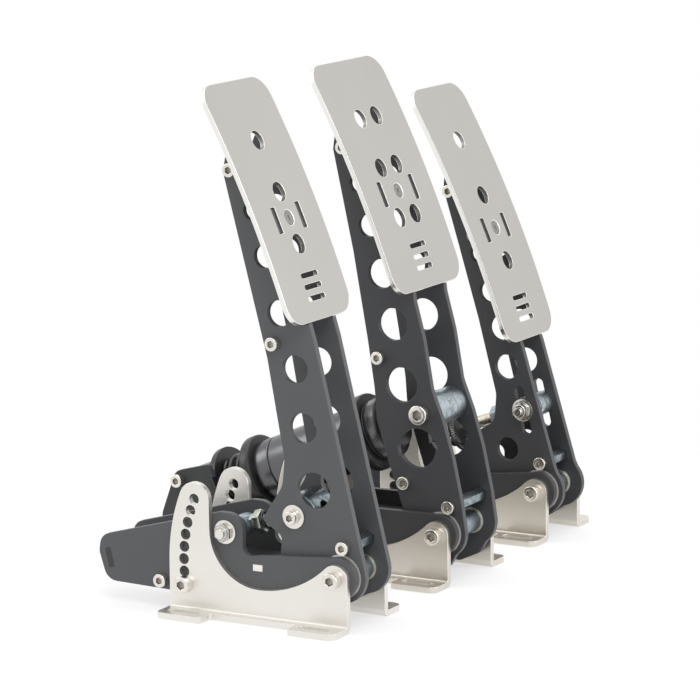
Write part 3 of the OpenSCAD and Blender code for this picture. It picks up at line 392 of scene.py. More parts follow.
def zincPlated(name, light, dark, roughLow, roughHigh, scale):  # rough where the plating is dark
    material, tree, shader = startMaterial(name)
    shader.inputs["Metallic"].default_value = 1.0
    plating = placeGroup(tree, platingGroup, (-700, 0), Light=(*light, 1), Dark=(*dark, 1), Scale=scale)
    tree.links.new(plating.outputs["Color"], shader.inputs["Base Color"])
    mapValue(tree, plating.outputs["Mask"], shader.inputs["Roughness"], roughHigh, roughLow, (-350, 0))
    lines = placeGroup(tree, brushGroup, (-700, -300),
                       Stretch=zincLines["stretch"], Scale=zincLines["scale"])
    addBump(tree, shader, lines.outputs["Lines"], zincLines)
    return material


# first and second colour, least and greatest roughness
faceSteel = blastedSteel("faceSteel", (0.50, 0.485, 0.455), (0.55, 0.535, 0.505), 0.36, 0.46)
# painted highlight: a lighter, smoother steel on the face plates' rims and rounded edges
faceEdgeHighlightSteel = blastedSteel("faceEdgeHighlightSteel", (0.84, 0.83, 0.80), (0.92, 0.91, 0.88), 0.22, 0.32)
# painted shade: a darker steel on the walls of the face plates' holes, slots and grooves
faceWallShadeSteel = blastedSteel("faceWallShadeSteel", (0.30, 0.295, 0.28), (0.38, 0.375, 0.36), 0.45, 0.58)
footSteel = blastedSteel("footSteel", (0.68, 0.64, 0.575), (0.74, 0.70, 0.635), 0.32, 0.42)
# painted light: a lighter copy of footSteel for the clutch, which stands more in the light
clutchLitFootSteel = blastedSteel("clutchLitFootSteel", (0.76, 0.735, 0.69), (0.83, 0.805, 0.76), 0.32, 0.42)
# painted highlight: a lighter, smoother steel on the feet's rounded edges
footEdgeHighlightSteel = blastedSteel("footEdgeHighlightSteel", (0.82, 0.79, 0.74), (0.90, 0.87, 0.82), 0.24, 0.34)
armCoat = powderCoat("armCoat", (0.031, 0.032, 0.035), (0.039, 0.040, 0.043), 0.44, 0.60)
# painted light: a lighter copy of armCoat for the clutch, which stands more in the light than brake and
# throttle
clutchLitCoat = powderCoat("clutchLitCoat", (0.062, 0.064, 0.067), (0.072, 0.074, 0.077), 0.44, 0.60)
# painted highlight: a lighter coat on the thickness faces and rounded edges of the black sheets
armEdgeCoat = powderCoat("armEdgeCoat", (0.050, 0.051, 0.054), (0.062, 0.063, 0.066), 0.36, 0.52)
# painted light and painted highlight: a lighter copy of the edge coat for the clutch's thickness faces
# and rounded edges
clutchLitEdgeHighlightCoat = powderCoat("clutchLitEdgeHighlightCoat", (0.074, 0.075, 0.078), (0.088, 0.089, 0.092), 0.36, 0.52)
frameCoat = powderCoat("frameCoat", (0.024, 0.025, 0.027), (0.030, 0.031, 0.033), 0.44, 0.62)
housingGrey = blastedSteel("housingGrey", (0.125, 0.126, 0.131), (0.145, 0.146, 0.151), 0.26, 0.34)
blackAnodised = powderCoat("blackAnodised", (0.012, 0.012, 0.013), (0.017, 0.017, 0.018), 0.28, 0.40)
knurlBlack = blastedSteel("knurlBlack", (0.10, 0.10, 0.102), (0.14, 0.14, 0.142), 0.20, 0.30)
springBlack = powderCoat("springBlack", (0.010, 0.010, 0.011), (0.016, 0.016, 0.017), 0.08, 0.16)
plasticBlack = powderCoat("plasticBlack", (0.014, 0.014, 0.014), (0.020, 0.020, 0.020), 0.40, 0.55)
screwSteel = blastedSteel("screwSteel", (0.70, 0.67, 0.62), (0.84, 0.81, 0.76), 0.18, 0.28)
# painted highlight: the pivot washers lighter than their steel, so their rims show bright in the shade
# between the plates
washerHighlightSteel = blastedSteel("washerHighlightSteel", (0.84, 0.82, 0.78), (0.92, 0.90, 0.86), 0.40, 0.52)
nutSteel = blastedSteel("nutSteel", (0.46, 0.45, 0.43), (0.58, 0.57, 0.55), 0.16, 0.26)
faceScrewSteel = blastedSteel("faceScrewSteel", (0.26, 0.255, 0.24), (0.34, 0.335, 0.32), 0.24, 0.34)
# painted shade: a darker, browner steel in the screws' hex sockets and on the face screws' shanks
socketShadeSteel = blastedSteel("socketShadeSteel", (0.44, 0.41, 0.37), (0.56, 0.53, 0.49), 0.28, 0.42)
# painted shade: a near-black steel in the face plates' countersinks
sinkShadeSteel = blastedSteel("sinkShadeSteel", (0.040, 0.039, 0.037), (0.065, 0.064, 0.061), 0.40, 0.55)
cellMetal = blastedSteel("cellMetal", (0.50, 0.50, 0.51), (0.60, 0.60, 0.61), 0.24, 0.36)
tabSteel = powderCoat("tabSteel", (0.70, 0.68, 0.63), (0.78, 0.76, 0.71), 0.50, 0.60)
# light and dark colour, least and greatest roughness, scale of the patches
zinc = zincPlated("zinc", (0.52, 0.585, 0.62), (0.27, 0.32, 0.35), 0.32, 0.44, 200.0)
spacerZinc = zincPlated("spacerZinc", (0.36, 0.42, 0.45), (0.16, 0.20, 0.225), 0.22, 0.32, 140.0)
greenZinc = zincPlated("greenZinc", (0.54, 0.58, 0.50), (0.38, 0.42, 0.35), 0.26, 0.38, 160.0)
paleZinc = zincPlated("paleZinc", (0.68, 0.64, 0.54), (0.50, 0.46, 0.37), 0.20, 0.32, 150.0)
bushGold = zincPlated("bushGold", (0.90, 0.86, 0.72), (0.78, 0.73, 0.58), 0.36, 0.48, 80.0)
print("materials ready")


# Sheet metal and turned parts: the solids with their sharp edges softened

softened = {
    # node: (body, slot, edge radius in millimetres, materials of faces and of rounded edges, the latter
    # often a lighter painted highlight)
    "pivot_washers": ("base", "screw", 0.1, washerHighlightSteel, washerHighlightSteel),
    "pivot_axles": ("base", "zinc", 0.3, zinc, zinc),
    "frame_spacers": ("base", "zinc", 0.3, spacerZinc, spacerZinc),
    "frame_webs": ("base", "frame_black", 0.3, frameCoat, armEdgeCoat),
    "sensor_housings": ("base", "housing", 0.8, plasticBlack, plasticBlack),
    "clutch_link_barrel": ("clutch_barrel", "zinc", 0.6, spacerZinc, spacerZinc),
    "throttle_lever_spacer": ("throttle_arm", "zinc", 0.3, zinc, zinc),
    "brake_reaction_plate": ("base", "anodised", 0.5, blackAnodised, armEdgeCoat),
    "brake_load_cell": ("base", "cell", 0.5, cellMetal, cellMetal),
}
pedalFinish = {
    # foot, frame plates, arm plates, rounded edges of both plates with a lighter painted highlight
    # the clutch's coats and foot steel are lighter copies: painted light, as the clutch stands more in
    # the light
    "clutch": (clutchLitFootSteel, clutchLitCoat, clutchLitCoat, clutchLitEdgeHighlightCoat),
    "brake": (footSteel, frameCoat, armCoat, armEdgeCoat),
    "throttle": (footSteel, frameCoat, armCoat, armEdgeCoat),
}
for pedal, (footMetal, frameBlack, armBlack, edgeHighlightCoat) in pedalFinish.items():
    arm = pedal + "_arm"
    for side in ("_left", "_right"):
        # the feet's rounded edges get the painted highlight
        softened[pedal + "_foot" + side] = ("base", "foot", 0.35, footMetal, footEdgeHighlightSteel)
        softened[pedal + "_frame" + side] = ("base", "frame_black", 0.25, frameBlack, edgeHighlightCoat)
        softened[arm + side] = (arm, "black", 0.25, armBlack, edgeHighlightCoat)
    softened[pedal + "_face_block"] = (arm, "frame_black", 0.4, armCoat, armEdgeCoat)
    softened[arm + "_spacers"] = (arm, "zinc", 0.3, spacerZinc, spacerZinc)
    softened[pedal + "_pivot_sleeve"] = (arm, "zinc", 0.3, zinc, zinc)
    softened[pedal + "_pivot_bushes"] = (arm, "bush", 0.2, bushGold, bushGold)

faceSheet = {"thick": 3.0, "curve": 800.0, "corner": 13.0, "cornerSteps": 10, "hole": 12.0,
             "slotWidth": 4.5, "slotLength": 16.0,
             "grooveWidth": 3.0, "grooveHalf": 8.0, "groovePitch": 7.0, "grooveUp": 20.0,
             "edge": 0.35, "strips": 48}
# painted is how far the countersink's painted shade reaches
faceSink = {"bore": 5.5, "bottom": 2.6, "top": 5.76, "depth": 3.3, "middle": -0.65, "painted": 6.2}
armTop = {
    # start of the top's rounding, the point it is drawn to, its reach up the plate,
    # and how far back and how high above the edge line the rounding of the solid lies
    "clutch": ((76.8, 264.8), (76.2, 275.5), 55.0, 71.8, 194.0),
    "brake": ((74.2, 264.0), (73.0, 275.0), 56.0, 71.0, 190.0),
    "throttle": ((69.6, 222.5), (68.6, 233.0), 54.0, 62.9, 153.8),
}
armTopEnd = {"flat": 2.0, "gap": 0.1, "screwHole": 3.2}  # millimetres


def backOfFace(pedal, reach):  # a point behind the face plate, in millimetres
    screwY, screwZ = faceScrewAt[pedal]
    curve = faceSheet["curve"]
    inner = curve - faceSheet["thick"] - armTopEnd["gap"]
    bend = faceLean + reach / curve
    return (screwY + curve * math.cos(faceLean) - inner * math.cos(bend),
            screwZ - curve * math.sin(faceLean) + inner * math.sin(bend))


def raiseTop(piece, pedal):  # the arm's rounded top reaches up behind the face plate
    rear, drawn, reach, fromY, fromHeight = armTop[pedal]
    screwY, screwZ = armScrewAt[pedal][0]
    places = {}
    for vertex in piece.data.vertices:
        y = vertex.co.y * 1000 + frontOffset
        z = vertex.co.z * 1000
        places.setdefault((round(y, 1), round(z, 1)), []).append(vertex)
    front = max(places, key=lambda place: place[1] - place[0])
    rounding = [place for place in places if place[0] > fromY and place[1] - place[0] > fromHeight
                and math.hypot(place[0] - screwY, place[1] - screwZ) > armTopEnd["screwHole"]]
    rounding.sort(key=lambda place: place[1] - place[0])
    meetY, meetZ = backOfFace(pedal, reach)
    for i, place in enumerate(rounding):
        share = i / (len(rounding) - 1)
        y = ((1 - share) ** 2 * rear[0] + 2 * share * (1 - share) * drawn[0]
             + share ** 2 * (meetY + armTopEnd["flat"]))
        z = (1 - share) ** 2 * rear[1] + 2 * share * (1 - share) * drawn[1] + share ** 2 * meetZ
        for vertex in places[place]:
            vertex.co.y = (y - frontOffset) / 1000
            vertex.co.z = z / 1000
    for vertex in places[front]:
        vertex.co.y = (meetY - frontOffset) / 1000
        vertex.co.z = meetZ / 1000


merging = {"doubles": 0.000002, "shortEdges": 0.0003, "flatAngle": math.radians(0.5)}  # metres


def softenNode(node, body, slot, radius, faceMaterial, edgeMaterial):
    piece = newObject(node + "_soft", bpy.data.objects[node].data.copy())
    paint(piece, faceMaterial, edgeMaterial)
    isArm = node.endswith(("arm_left", "arm_right"))
    isSheet = isArm or "_frame_" in node
    editAll(piece)
    bpy.ops.mesh.remove_doubles(threshold=merging["doubles"])
    bpy.ops.mesh.dissolve_limited(angle_limit=merging["flatAngle"])
    if isSheet:  # the smallest roundings are narrower than the soft edge
        bpy.ops.mesh.remove_doubles(threshold=merging["shortEdges"])
        bpy.ops.mesh.dissolve_limited(angle_limit=merging["flatAngle"])
    bpy.ops.object.mode_set(mode="OBJECT")
    if isArm:
        raiseTop(piece, body.split("_")[0])
    # the thickness faces of arms and frames and all rounded edges take the second material, on most
    # parts a lighter painted highlight
    for face in piece.data.polygons:
        face.material_index = 1 if isSheet and abs(face.normal.x) < 0.5 else 0
    roundEdges(piece, radius, slot=1)
    smoothSharp(piece, 30)
    evenNormals(piece)
    finishPiece(piece, body, [node])


for nodeName, plan in softened.items():
    softenNode(nodeName, *plan)


tabReach = (50, 58)  # behind the pivot, in millimetres


def brightenTabs():  # bare metal on the ends of the clutch's front tabs, and on the other webs there
    webs = bpy.data.objects["frame_webs_soft"]
    webs.data.materials.append(tabSteel)
    for face in webs.data.polygons:
        x = face.center.x * 1000 - pedalX["clutch"]
        y = face.center.y * 1000 + frontOffset
        if abs(x) > frameOuter["clutch"] - 0.5 and tabReach[0] < y < tabReach[1]:
            face.material_index = 2


brightenTabs()
print("sheet metal and turned parts softened")


# Face plates: cut flat, then bent to their gentle curve

facePlans = {
    # width, reach below and above the screw, heights of the grip holes,
    # and how far from the middle they and the two slots lie
    "clutch": (72.6, 62.0, 87.0, (48.6, 16.2, -16.2), 0.0, 14.0),
    "brake": (86.4, 62.0, 87.0, (48.6, 16.2, -16.2), 10.0, 20.0),
    "throttle": (68.0, 74.0, 99.5, (61.0, 22.4, -22.4), 0.0, 14.0),
}


def boxPiece(width, length, height, middle=(0, 0, 0)):  # millimetres
    deselectAll()
    bpy.ops.mesh.primitive_cube_add(size=1, location=[v / 1000 for v in middle])
    piece = bpy.context.active_object
    piece.scale = (width / 1000, length / 1000, height / 1000)
    settle(piece)
    return piece


def faceCutters(holes, holeSide, slotSide, down):
    cutters = []
    through = 20  # length of a cutter, in millimetres
    for up in holes:
        for side in sorted({-holeSide, holeSide}):
            cutter = cylinderPiece(faceSheet["hole"] / 2, through)
            cutter.location = (side / 1000, up / 1000, 0)
            settle(cutter)
            cutters.append(cutter)
    for side in (-1, 1):
        cutters.append(boxPiece(faceSheet["slotWidth"], faceSheet["slotLength"], through,
                                (side * slotSide, 0, 0)))
    width = faceSheet["grooveWidth"]
    for i in (-1, 0, 1):
        up = -down + faceSheet["grooveUp"] + i * faceSheet["groovePitch"]
        groove = boxPiece(2 * faceSheet["grooveHalf"] + width, width, through, (0, up, 0))
        roundUpright(groove, width / 2.02, 6)  # nearly half its width, so the ends are round
        cutters.append(groove)
    deselectAll()
    bpy.ops.mesh.primitive_cone_add(vertices=48, radius1=faceSink["bottom"] / 1000,
                                    radius2=faceSink["top"] / 1000, depth=faceSink["depth"] / 1000,
                                    location=(0, 0, faceSink["middle"] / 1000))
    cutters.append(bpy.context.active_object)
    cutters.append(cylinderPiece(faceSink["bore"] / 2, through, 48))
    return cutters


def roundUpright(piece, radius, segments):  # rounds the edges that stand along Z
    makeActive(piece)
    weights = piece.data.attributes.new("bevel_weight_edge", "FLOAT", "EDGE")
    for edge in piece.data.edges:
        ends = [piece.data.vertices[i].co for i in edge.vertices]
        upright = abs(ends[0].x - ends[1].x) + abs(ends[0].y - ends[1].y) < 1e-7
        weights.data[edge.index].value = 1.0 if upright else 0.0
    bevel = piece.modifiers.new("cornerRound", "BEVEL")
    bevel.limit_method = "WEIGHT"
    bevel.width = radius / 1000
    bevel.segments = segments
    applyModifiers(piece)


def bendFace(piece, pedal):  # flat X, Y and Z become across, up the plate and out of it
    screwY, screwZ = faceScrewAt[pedal]
    origin = spot(pedal, 0, (screwY, screwZ))
    upward = Vector((0, math.sin(faceLean), math.cos(faceLean)))
    outward = Vector((0, -math.cos(faceLean), math.sin(faceLean)))
    curve = faceSheet["curve"] / 1000
    for vertex in piece.data.vertices:
        across, up, out = vertex.co
        sag = curve - math.sqrt(curve * curve - up * up)
        vertex.co = origin + Vector((across, 0, 0)) + upward * up + outward * (out - sag)


def sliceUp(piece, low, high, strips):  # cross lines that let the flat plate bend
    makeActive(piece)
    bpy.ops.object.mode_set(mode="EDIT")
    for i in range(1, strips):
        bpy.ops.mesh.select_all(action="SELECT")
        up = (low + (high - low) * i / strips) / 1000
        bpy.ops.mesh.bisect(plane_co=(0, up, 0), plane_no=(0, 1, 0), threshold=0.000001)
    bpy.ops.object.mode_set(mode="OBJECT")


def makeFacePlate(pedal, width, down, up, holes, holeSide, slotSide):
    thick = faceSheet["thick"]
    plate = boxPiece(width, up + down, thick, (0, (up - down) / 2, -thick / 2))
    roundUpright(plate, faceSheet["corner"], faceSheet["cornerSteps"])
    for cutter in faceCutters(holes, holeSide, slotSide, down):
        cutAway(plate, cutter)
    paint(plate, faceSteel, faceEdgeHighlightSteel, faceWallShadeSteel, sinkShadeSteel)
    for face in plate.data.polygons:
        across, high = abs(face.center.x) * 1000, face.center.y * 1000
        # walls along the rim get the painted highlight
        isRim = across > width / 2 - faceSheet["corner"] or not 0.6 - down < high < up - 0.6
        # walls of the countersink get a darker painted shade
        isSink = math.hypot(across, high) < faceSink["painted"]
        # the other walls, of holes, slots and grooves, get the painted shade
        isWall = abs(face.normal.z) < 0.9
        face.material_index = (1 if isRim else 3 if isSink else 2) if isWall else 0
    roundEdges(plate, faceSheet["edge"], slot=1)
    sliceUp(plate, -down, up, faceSheet["strips"])
    bendFace(plate, pedal)
    smoothSharp(plate, 30)
    evenNormals(plate)
    plate.name = pedal + "FaceSheet"
    finishPiece(plate, pedal + "_arm", [pedal + "_face_plate"])


for pedal, plan in facePlans.items():
    makeFacePlate(pedal, *plan)
print("face plates bent")


# Screws, washers and nuts

screwSizes = {
    # shank, head, head height, socket across flats, in millimetres
    "m5": (5.0, 8.2, 5.0, 4.0),
    "m6": (6.0, 10.0, 6.0, 5.0),
    "m8": (8.0, 12.0, 7.0, 6.0),
    "m6low": (6.0, 10.0, 4.5, 4.0),
}
capShape = {
    # shares of the head's width, of the shank's and of the socket's; painted is the reach of the
    # socket's painted shade
    "topEdge": 0.055, "socketEdge": 0.012, "shankEdge": 0.08, "drill": 0.36, "painted": 0.6,
    # shares of the head's height; paintedFrom and paintedTo bound the socket's painted shade
    "drillUp": 0.92, "paintedFrom": 0.2, "paintedTo": 0.99,
}
lockNutShape = {"hexagon": 0.72, "collar": 0.3, "dome": 0.12, "collarRadius": 0.43}


def makeCapScrew(name, reach):  # head on the plane z = 0 and pointing up
    shank, head, height, socket = screwSizes[name]
    top = cylinderPiece(head / 2, height, 48, height / 2)
    roundEdges(top, capShape["topEdge"] * head, 3, 60)
    cutAway(top, hexPiece(socket, height, height))
    # a round drilled bottom, a little below the hexagon
    cutAway(top, cylinderPiece(capShape["drill"] * socket, height, 24, capShape["drillUp"] * height))
    roundEdges(top, capShape["socketEdge"] * head, 1, 50)
    sunk = height / 4  # the shank's end inside the head
    shaft = cylinderPiece(shank / 2, reach + sunk, 32, (sunk - reach) / 2)
    roundEdges(shaft, capShape["shankEdge"] * shank, 1, 50)
    paint(top, screwSteel, socketShadeSteel)
    paint(shaft, screwSteel)
    # the inside of the socket gets the painted shade
    for face in top.data.polygons:
        across = math.hypot(face.center.x, face.center.y) * 1000
        up = face.center.z * 1000 / height
        isInside = across < capShape["painted"] * socket
        isDeep = capShape["paintedFrom"] < up < capShape["paintedTo"]
        face.material_index = 1 if isInside and isDeep else 0
    screw = joinAll([top, shaft], name + "Screw")
    smoothSharp(screw)
    return screw


def makeWasher(outer, inner, thick):
    ring = cylinderPiece(outer / 2, thick, 64, thick / 2)
    cutAway(ring, cylinderPiece(inner / 2, 4 * thick, 48, thick / 2))
    roundEdges(ring, thick * 0.18, 2, 50)
    smoothSharp(ring)
    paint(ring, screwSteel)
    return ring


def makeLockNut(flats, height):  # locking nut with a domed collar; its bolt fills the hole
    hexagon = lockNutShape["hexagon"] * height
    body = hexPiece(flats, hexagon, hexagon / 2)
    roundEdges(body, 0.4, 2, 50)
    domed = lockNutShape["collar"] * height
    collar = cylinderPiece(lockNutShape["collarRadius"] * flats, domed, 48, height - domed / 2)
    roundEdges(collar, lockNutShape["dome"] * height, 3, 60)
    nut = joinAll([body, collar], "lockNut")
    smoothSharp(nut)
    paint(nut, nutSteel)
    return nut


def sideScrews(template, pedal, plane, places):  # on both outer sides of a pedal
    made = []
    for yz in places:
        for side in (-1, 1):
            twin = copyOf(template)
            standAlong(twin, spot(pedal, side * plane, yz), (side, 0, 0))
            made.append(twin)
    return made


def dropTemplates(*templates):
    for template in templates:
        bpy.data.objects.remove(template, do_unlink=True)


washerSize = {"outer": 14.4, "inner": 6.1, "thick": 1.2}
longM6 = makeCapScrew("m6", 16)
longM5 = makeCapScrew("m5", 12)
armM5 = makeCapScrew("m5", 11)
shortM8 = makeCapScrew("m8", 12)
guideM6 = makeCapScrew("m6", 8)
leverM6 = makeCapScrew("m6low", 20)
plainWasher = makeWasher(**washerSize)
lockNut = makeLockNut(10.0, 5.0)

footScrewSet = []
frameScrewSet = []
for pedal in pedalX:
    footScrewSet += sideScrews(longM6, pedal, footOuter[pedal], [(0, pivotHeight), lowHole])
    frameScrewSet += sideScrews(longM5, pedal, frameOuter[pedal], [tailScrewAt[pedal]])
footScrews = joinAll(footScrewSet, "footScrewSet")
finishPiece(footScrews, "base", ["foot_screws"])
frameScrews = joinAll(frameScrewSet, "frameScrewSet")
finishPiece(frameScrews, "base", ["frame_screws"])


def throughBolt(pedal, plane, yz, headTemplate, tip):  # head on the right, locking nut on the left
    made = sideScrews(plainWasher, pedal, plane, [yz])
    onWasher = plane + washerSize["thick"]
    head = copyOf(headTemplate)
    standAlong(head, spot(pedal, onWasher, yz), (1, 0, 0))
    nut = copyOf(lockNut)
    standAlong(nut, spot(pedal, -onWasher, yz), (-1, 0, 0))
    pastWasher = 5 + tip  # the shank's end stands out of the nut
    shank = cylinderPiece(3.0, 2 * onWasher + pastWasher, 32)
    roundEdges(shank, 0.5, 2, 50)
    smoothSharp(shank)
    paint(shank, screwSteel)
    standAlong(shank, spot(pedal, -pastWasher / 2, yz), (1, 0, 0))
    return made + [head, nut, shank]


anchorParts = throughBolt("clutch", frameOuter["clutch"], anchorAt, longM6, 1.5)
anchorBolt = joinAll(anchorParts, "anchorBoltSet")
finishPiece(anchorBolt, "base", ["clutch_anchor_bolt"])


faceScrewSize = {"shank": 5.0, "head": 8.8, "headDepth": 2.1, "recess": 0.2, "flats": 3.0, "end": 11.9}


def makeFaceScrew():  # countersunk, a little below the plane z = 0
    size = faceScrewSize
    headMiddle = -size["recess"] - size["headDepth"] / 2
    deselectAll()
    bpy.ops.mesh.primitive_cone_add(vertices=48, radius1=size["shank"] / 2000,
                                    radius2=size["head"] / 2000, depth=size["headDepth"] / 1000,
                                    location=(0, 0, headMiddle / 1000))
    head = bpy.context.active_object
    settle(head)
    cutAway(head, hexPiece(size["flats"], 3.0, -0.1))
    roundEdges(head, 0.15)
    underHead = size["recess"] + size["headDepth"]
    shank = cylinderPiece(size["shank"] / 2, size["end"] - underHead, 32, -(size["end"] + underHead) / 2)
    paint(head, faceScrewSteel, socketShadeSteel)
    paint(shank, socketShadeSteel)
    # the socket gets the painted shade
    for face in head.data.polygons:
        across = math.hypot(face.center.x, face.center.y) * 1000
        isSocket = across < size["flats"] * 0.6 and face.center.z * 1000 < -size["recess"] - 0.05
        face.material_index = 1 if isSocket else 0
    screw = joinAll([head, shank], "faceScrew")
    smoothSharp(screw)
    return screw


faceScrewTemplate = makeFaceScrew()
faceDirection = (0, -math.cos(faceLean), math.sin(faceLean))
blockScrew = {"behindFace": 9.05, "standsOut": 0.6}  # flat heads on the arms' outer sides


def armScrewPieces(pedal):
    plane = armOuter[pedal]
    made = sideScrews(armM5, pedal, plane, armScrewAt[pedal])
    screwY, screwZ = faceScrewAt[pedal]
    behind = blockScrew["behindFace"]
    blockAt = (screwY + behind * math.cos(faceLean), screwZ - behind * math.sin(faceLean))
    made += sideScrews(faceScrewTemplate, pedal, plane + blockScrew["standsOut"], [blockAt])
    countersunk = copyOf(faceScrewTemplate)
    standAlong(countersunk, spot(pedal, 0, faceScrewAt[pedal]), faceDirection)
    made.append(countersunk)
    if pedal == "clutch":
        made += sideScrews(plainWasher, pedal, plane, [barrelAt])
        made += sideScrews(armM5, pedal, plane + washerSize["thick"], [barrelAt])
    if pedal == "brake":
        made += sideScrews(shortM8, pedal, plane, [crossAt])
    if pedal == "throttle":
        made += throughBolt(pedal, plane, leverAt, leverM6, 3.0)
    return made


for pedal in pedalX:
    armScrewSet = joinAll(armScrewPieces(pedal), pedal + "ArmScrewSet")
    finishPiece(armScrewSet, pedal + "_arm", [pedal + "_arm_screws"])
print("screws placed")


# Threaded rods

threadShape = {"depth": 0.58, "crestFrom": 0.44, "crestTo": 0.56,  # shares of the pitch
               "steps": 28}  # in each turn


def makeThread(radius, pitch, length):  # stands on z = 0, with chamfered ends and a solid core
    depth = pitch * threadShape["depth"]
    steps = threadShape["steps"]
    mesh = bpy.data.meshes.new("threadProfile")
    mesh.from_pydata([(radius - depth, 0, 0), (radius, 0, pitch * threadShape["crestFrom"]),
                      (radius, 0, pitch * threadShape["crestTo"]), (radius - depth, 0, pitch)],
                     [(0, 1), (1, 2), (2, 3)], [])
    thread = newObject("thread", mesh)
    screw = thread.modifiers.new("wind", "SCREW")
    screw.axis = "Z"
    screw.angle = math.radians(360)
    screw.screw_offset = pitch / 1000
    screw.steps = steps
    screw.render_steps = steps
    screw.iterations = int(length / pitch) - 1
    screw.use_merge_vertices = True
    screw.merge_threshold = merging["doubles"] / 2
    for vertex in mesh.vertices:
        vertex.co /= 1000
    applyModifiers(thread)
    editAll(thread)
    bpy.ops.mesh.remove_doubles(threshold=merging["doubles"])
    bpy.ops.mesh.normals_make_consistent(inside=False)
    bpy.ops.object.mode_set(mode="OBJECT")
    core = cylinderPiece(radius - depth * 0.9, length, steps, length / 2)
    roundEdges(core, depth * 0.6, 1, 50)
    rod = joinAll([thread, core], "threadedRod")
    smoothSharp(rod, 28)
    return rod


def makeHexNut(flats, height, hole, material):
    nut = hexPiece(flats, height, height / 2)
    cutAway(nut, cylinderPiece(hole / 2, 4 * height, 32))
    roundEdges(nut, flats * 0.04)
    smoothSharp(nut)
    paint(nut, material)
    return nut


def makeEye(radius, width, bore):  # a short tube for the bolt, set across its rod
    eye = cylinderPiece(radius, width)
    roundEdges(eye, 0.6, 2, 50)
    cutAway(eye, cylinderPiece(bore / 2, 30, 32))
    smoothSharp(eye)
    paint(eye, zinc)
    return eye


linkDirection = (0, -math.cos(linkSlope), math.sin(linkSlope))
linkAt = spot("clutch", 0, anchorAt)
slideLink = {
    "eye": (6.5, 12.0, 6.1),  # radius, width, bore
    "thread": (3.5, 1.25, 43.6),  # radius, pitch, length
    "threadStart": 6.0,  # this and the next two are distances from the anchor bolt
    "thinNutStart": 6.6,
    "seatNutStart": 10.1,
}


def alongLink(distance):
    return linkAt + Vector(linkDirection) * distance / 1000


slideEye = makeEye(*slideLink["eye"])
standAlong(slideEye, linkAt, (1, 0, 0))
slideThread = makeThread(*slideLink["thread"])
paint(slideThread, zinc)
standAlong(slideThread, alongLink(slideLink["threadStart"]), linkDirection)
slideRod = joinAll([slideEye, slideThread], "slideRodSet")
finishPiece(slideRod, "clutch_rod", ["clutch_slide_rod"])

thinNut = makeHexNut(9.4, 3.4, 7.1, zinc)
standAlong(thinNut, alongLink(slideLink["thinNutStart"]), linkDirection)
seatNut = makeHexNut(12.6, 4.9, 7.1, greenZinc)
standAlong(seatNut, alongLink(slideLink["seatNutStart"]), linkDirection)
rodNuts = joinAll([thinNut, seatNut], "linkNutSet")
finishPiece(rodNuts, "clutch_rod", ["clutch_rod_nuts"])

rodDirection = (0, math.cos(rodSlope), -math.sin(rodSlope))
rodStart = spot("throttle", 0, leverAt)
pullRod = {
    "eye": (8.0, 9.0, 6.1),  # radius, width, bore
    "radius": 4.0,
    "length": 152.0,
    "start": 7.5,  # this and the nut's start are distances from the leverage bolt
    "nutStart": 25.0,
}


def alongRod(distance):
    return rodStart + Vector(rodDirection) * distance / 1000


leverEye = makeEye(*pullRod["eye"])
standAlong(leverEye, rodStart, (1, 0, 0))
mainRod = cylinderPiece(pullRod["radius"], pullRod["length"], 64, pullRod["length"] / 2)
roundEdges(mainRod, 0.8, 2, 50)
smoothSharp(mainRod)
paint(mainRod, paleZinc)
standAlong(mainRod, alongRod(pullRod["start"]), rodDirection)
rodNut = makeHexNut(13.0, 5.0, 7.9, zinc)
standAlong(rodNut, alongRod(pullRod["nutStart"]), rodDirection)
throttleRod = joinAll([leverEye, mainRod, rodNut], "throttleRodSet")
finishPiece(throttleRod, "throttle_link", ["throttle_rod"])

guide = {"radius": 10.0, "width": 22.0, "bore": 9.2, "barFlats": 10.0, "barLength": 6.1}
guideSpot = spot("throttle", 0, guideAt)
guideBarrel = cylinderPiece(guide["radius"], guide["width"], 96)
roundEdges(guideBarrel, 0.8, 3, 50)
standAlong(guideBarrel, guideSpot, (1, 0, 0))
guideCut = cylinderPiece(guide["bore"] / 2, 60, 48)
standAlong(guideCut, guideSpot, rodDirection)
cutAway(guideBarrel, guideCut)
smoothSharp(guideBarrel, 30)
paint(guideBarrel, zinc)
guideParts = [guideBarrel]
for side in (-1, 1):  # the bars reach from the barrel to the frame plates
    barMiddle = guide["width"] / 2 - 0.1 + guide["barLength"] / 2
    bar = hexPiece(guide["barFlats"], guide["barLength"], barMiddle)
    roundEdges(bar, 0.3, 2, 50)
    smoothSharp(bar)
    paint(bar, zinc)
    standAlong(bar, guideSpot, (side, 0, 0))
    guideParts.append(bar)
guideParts += sideScrews(guideM6, "throttle", frameOuter["throttle"], [guideAt])
throttleGuide = joinAll(guideParts, "throttleGuideSet")
finishPiece(throttleGuide, "base", ["throttle_guide"])
dropTemplates(longM6, longM5, armM5, shortM8, guideM6, leverM6, plainWasher, lockNut, faceScrewTemplate)
print("rods and guide made")


# Springs

coils = {
    # radius to the middle of the wire, wire, length, turns
    "clutch": (5.2, 1.6, 17.7, 3.6),
    "brake": (16.4, 3.2, 18.1, 3.2),
    "throttle": (9.7, 2.6, 67.6, 8.5),
}
coilStart = {"clutch": 15.15, "brake": 138.2, "throttle": 57.8}  # from the eye or cross tube
coilSteps = 28  # in each turn


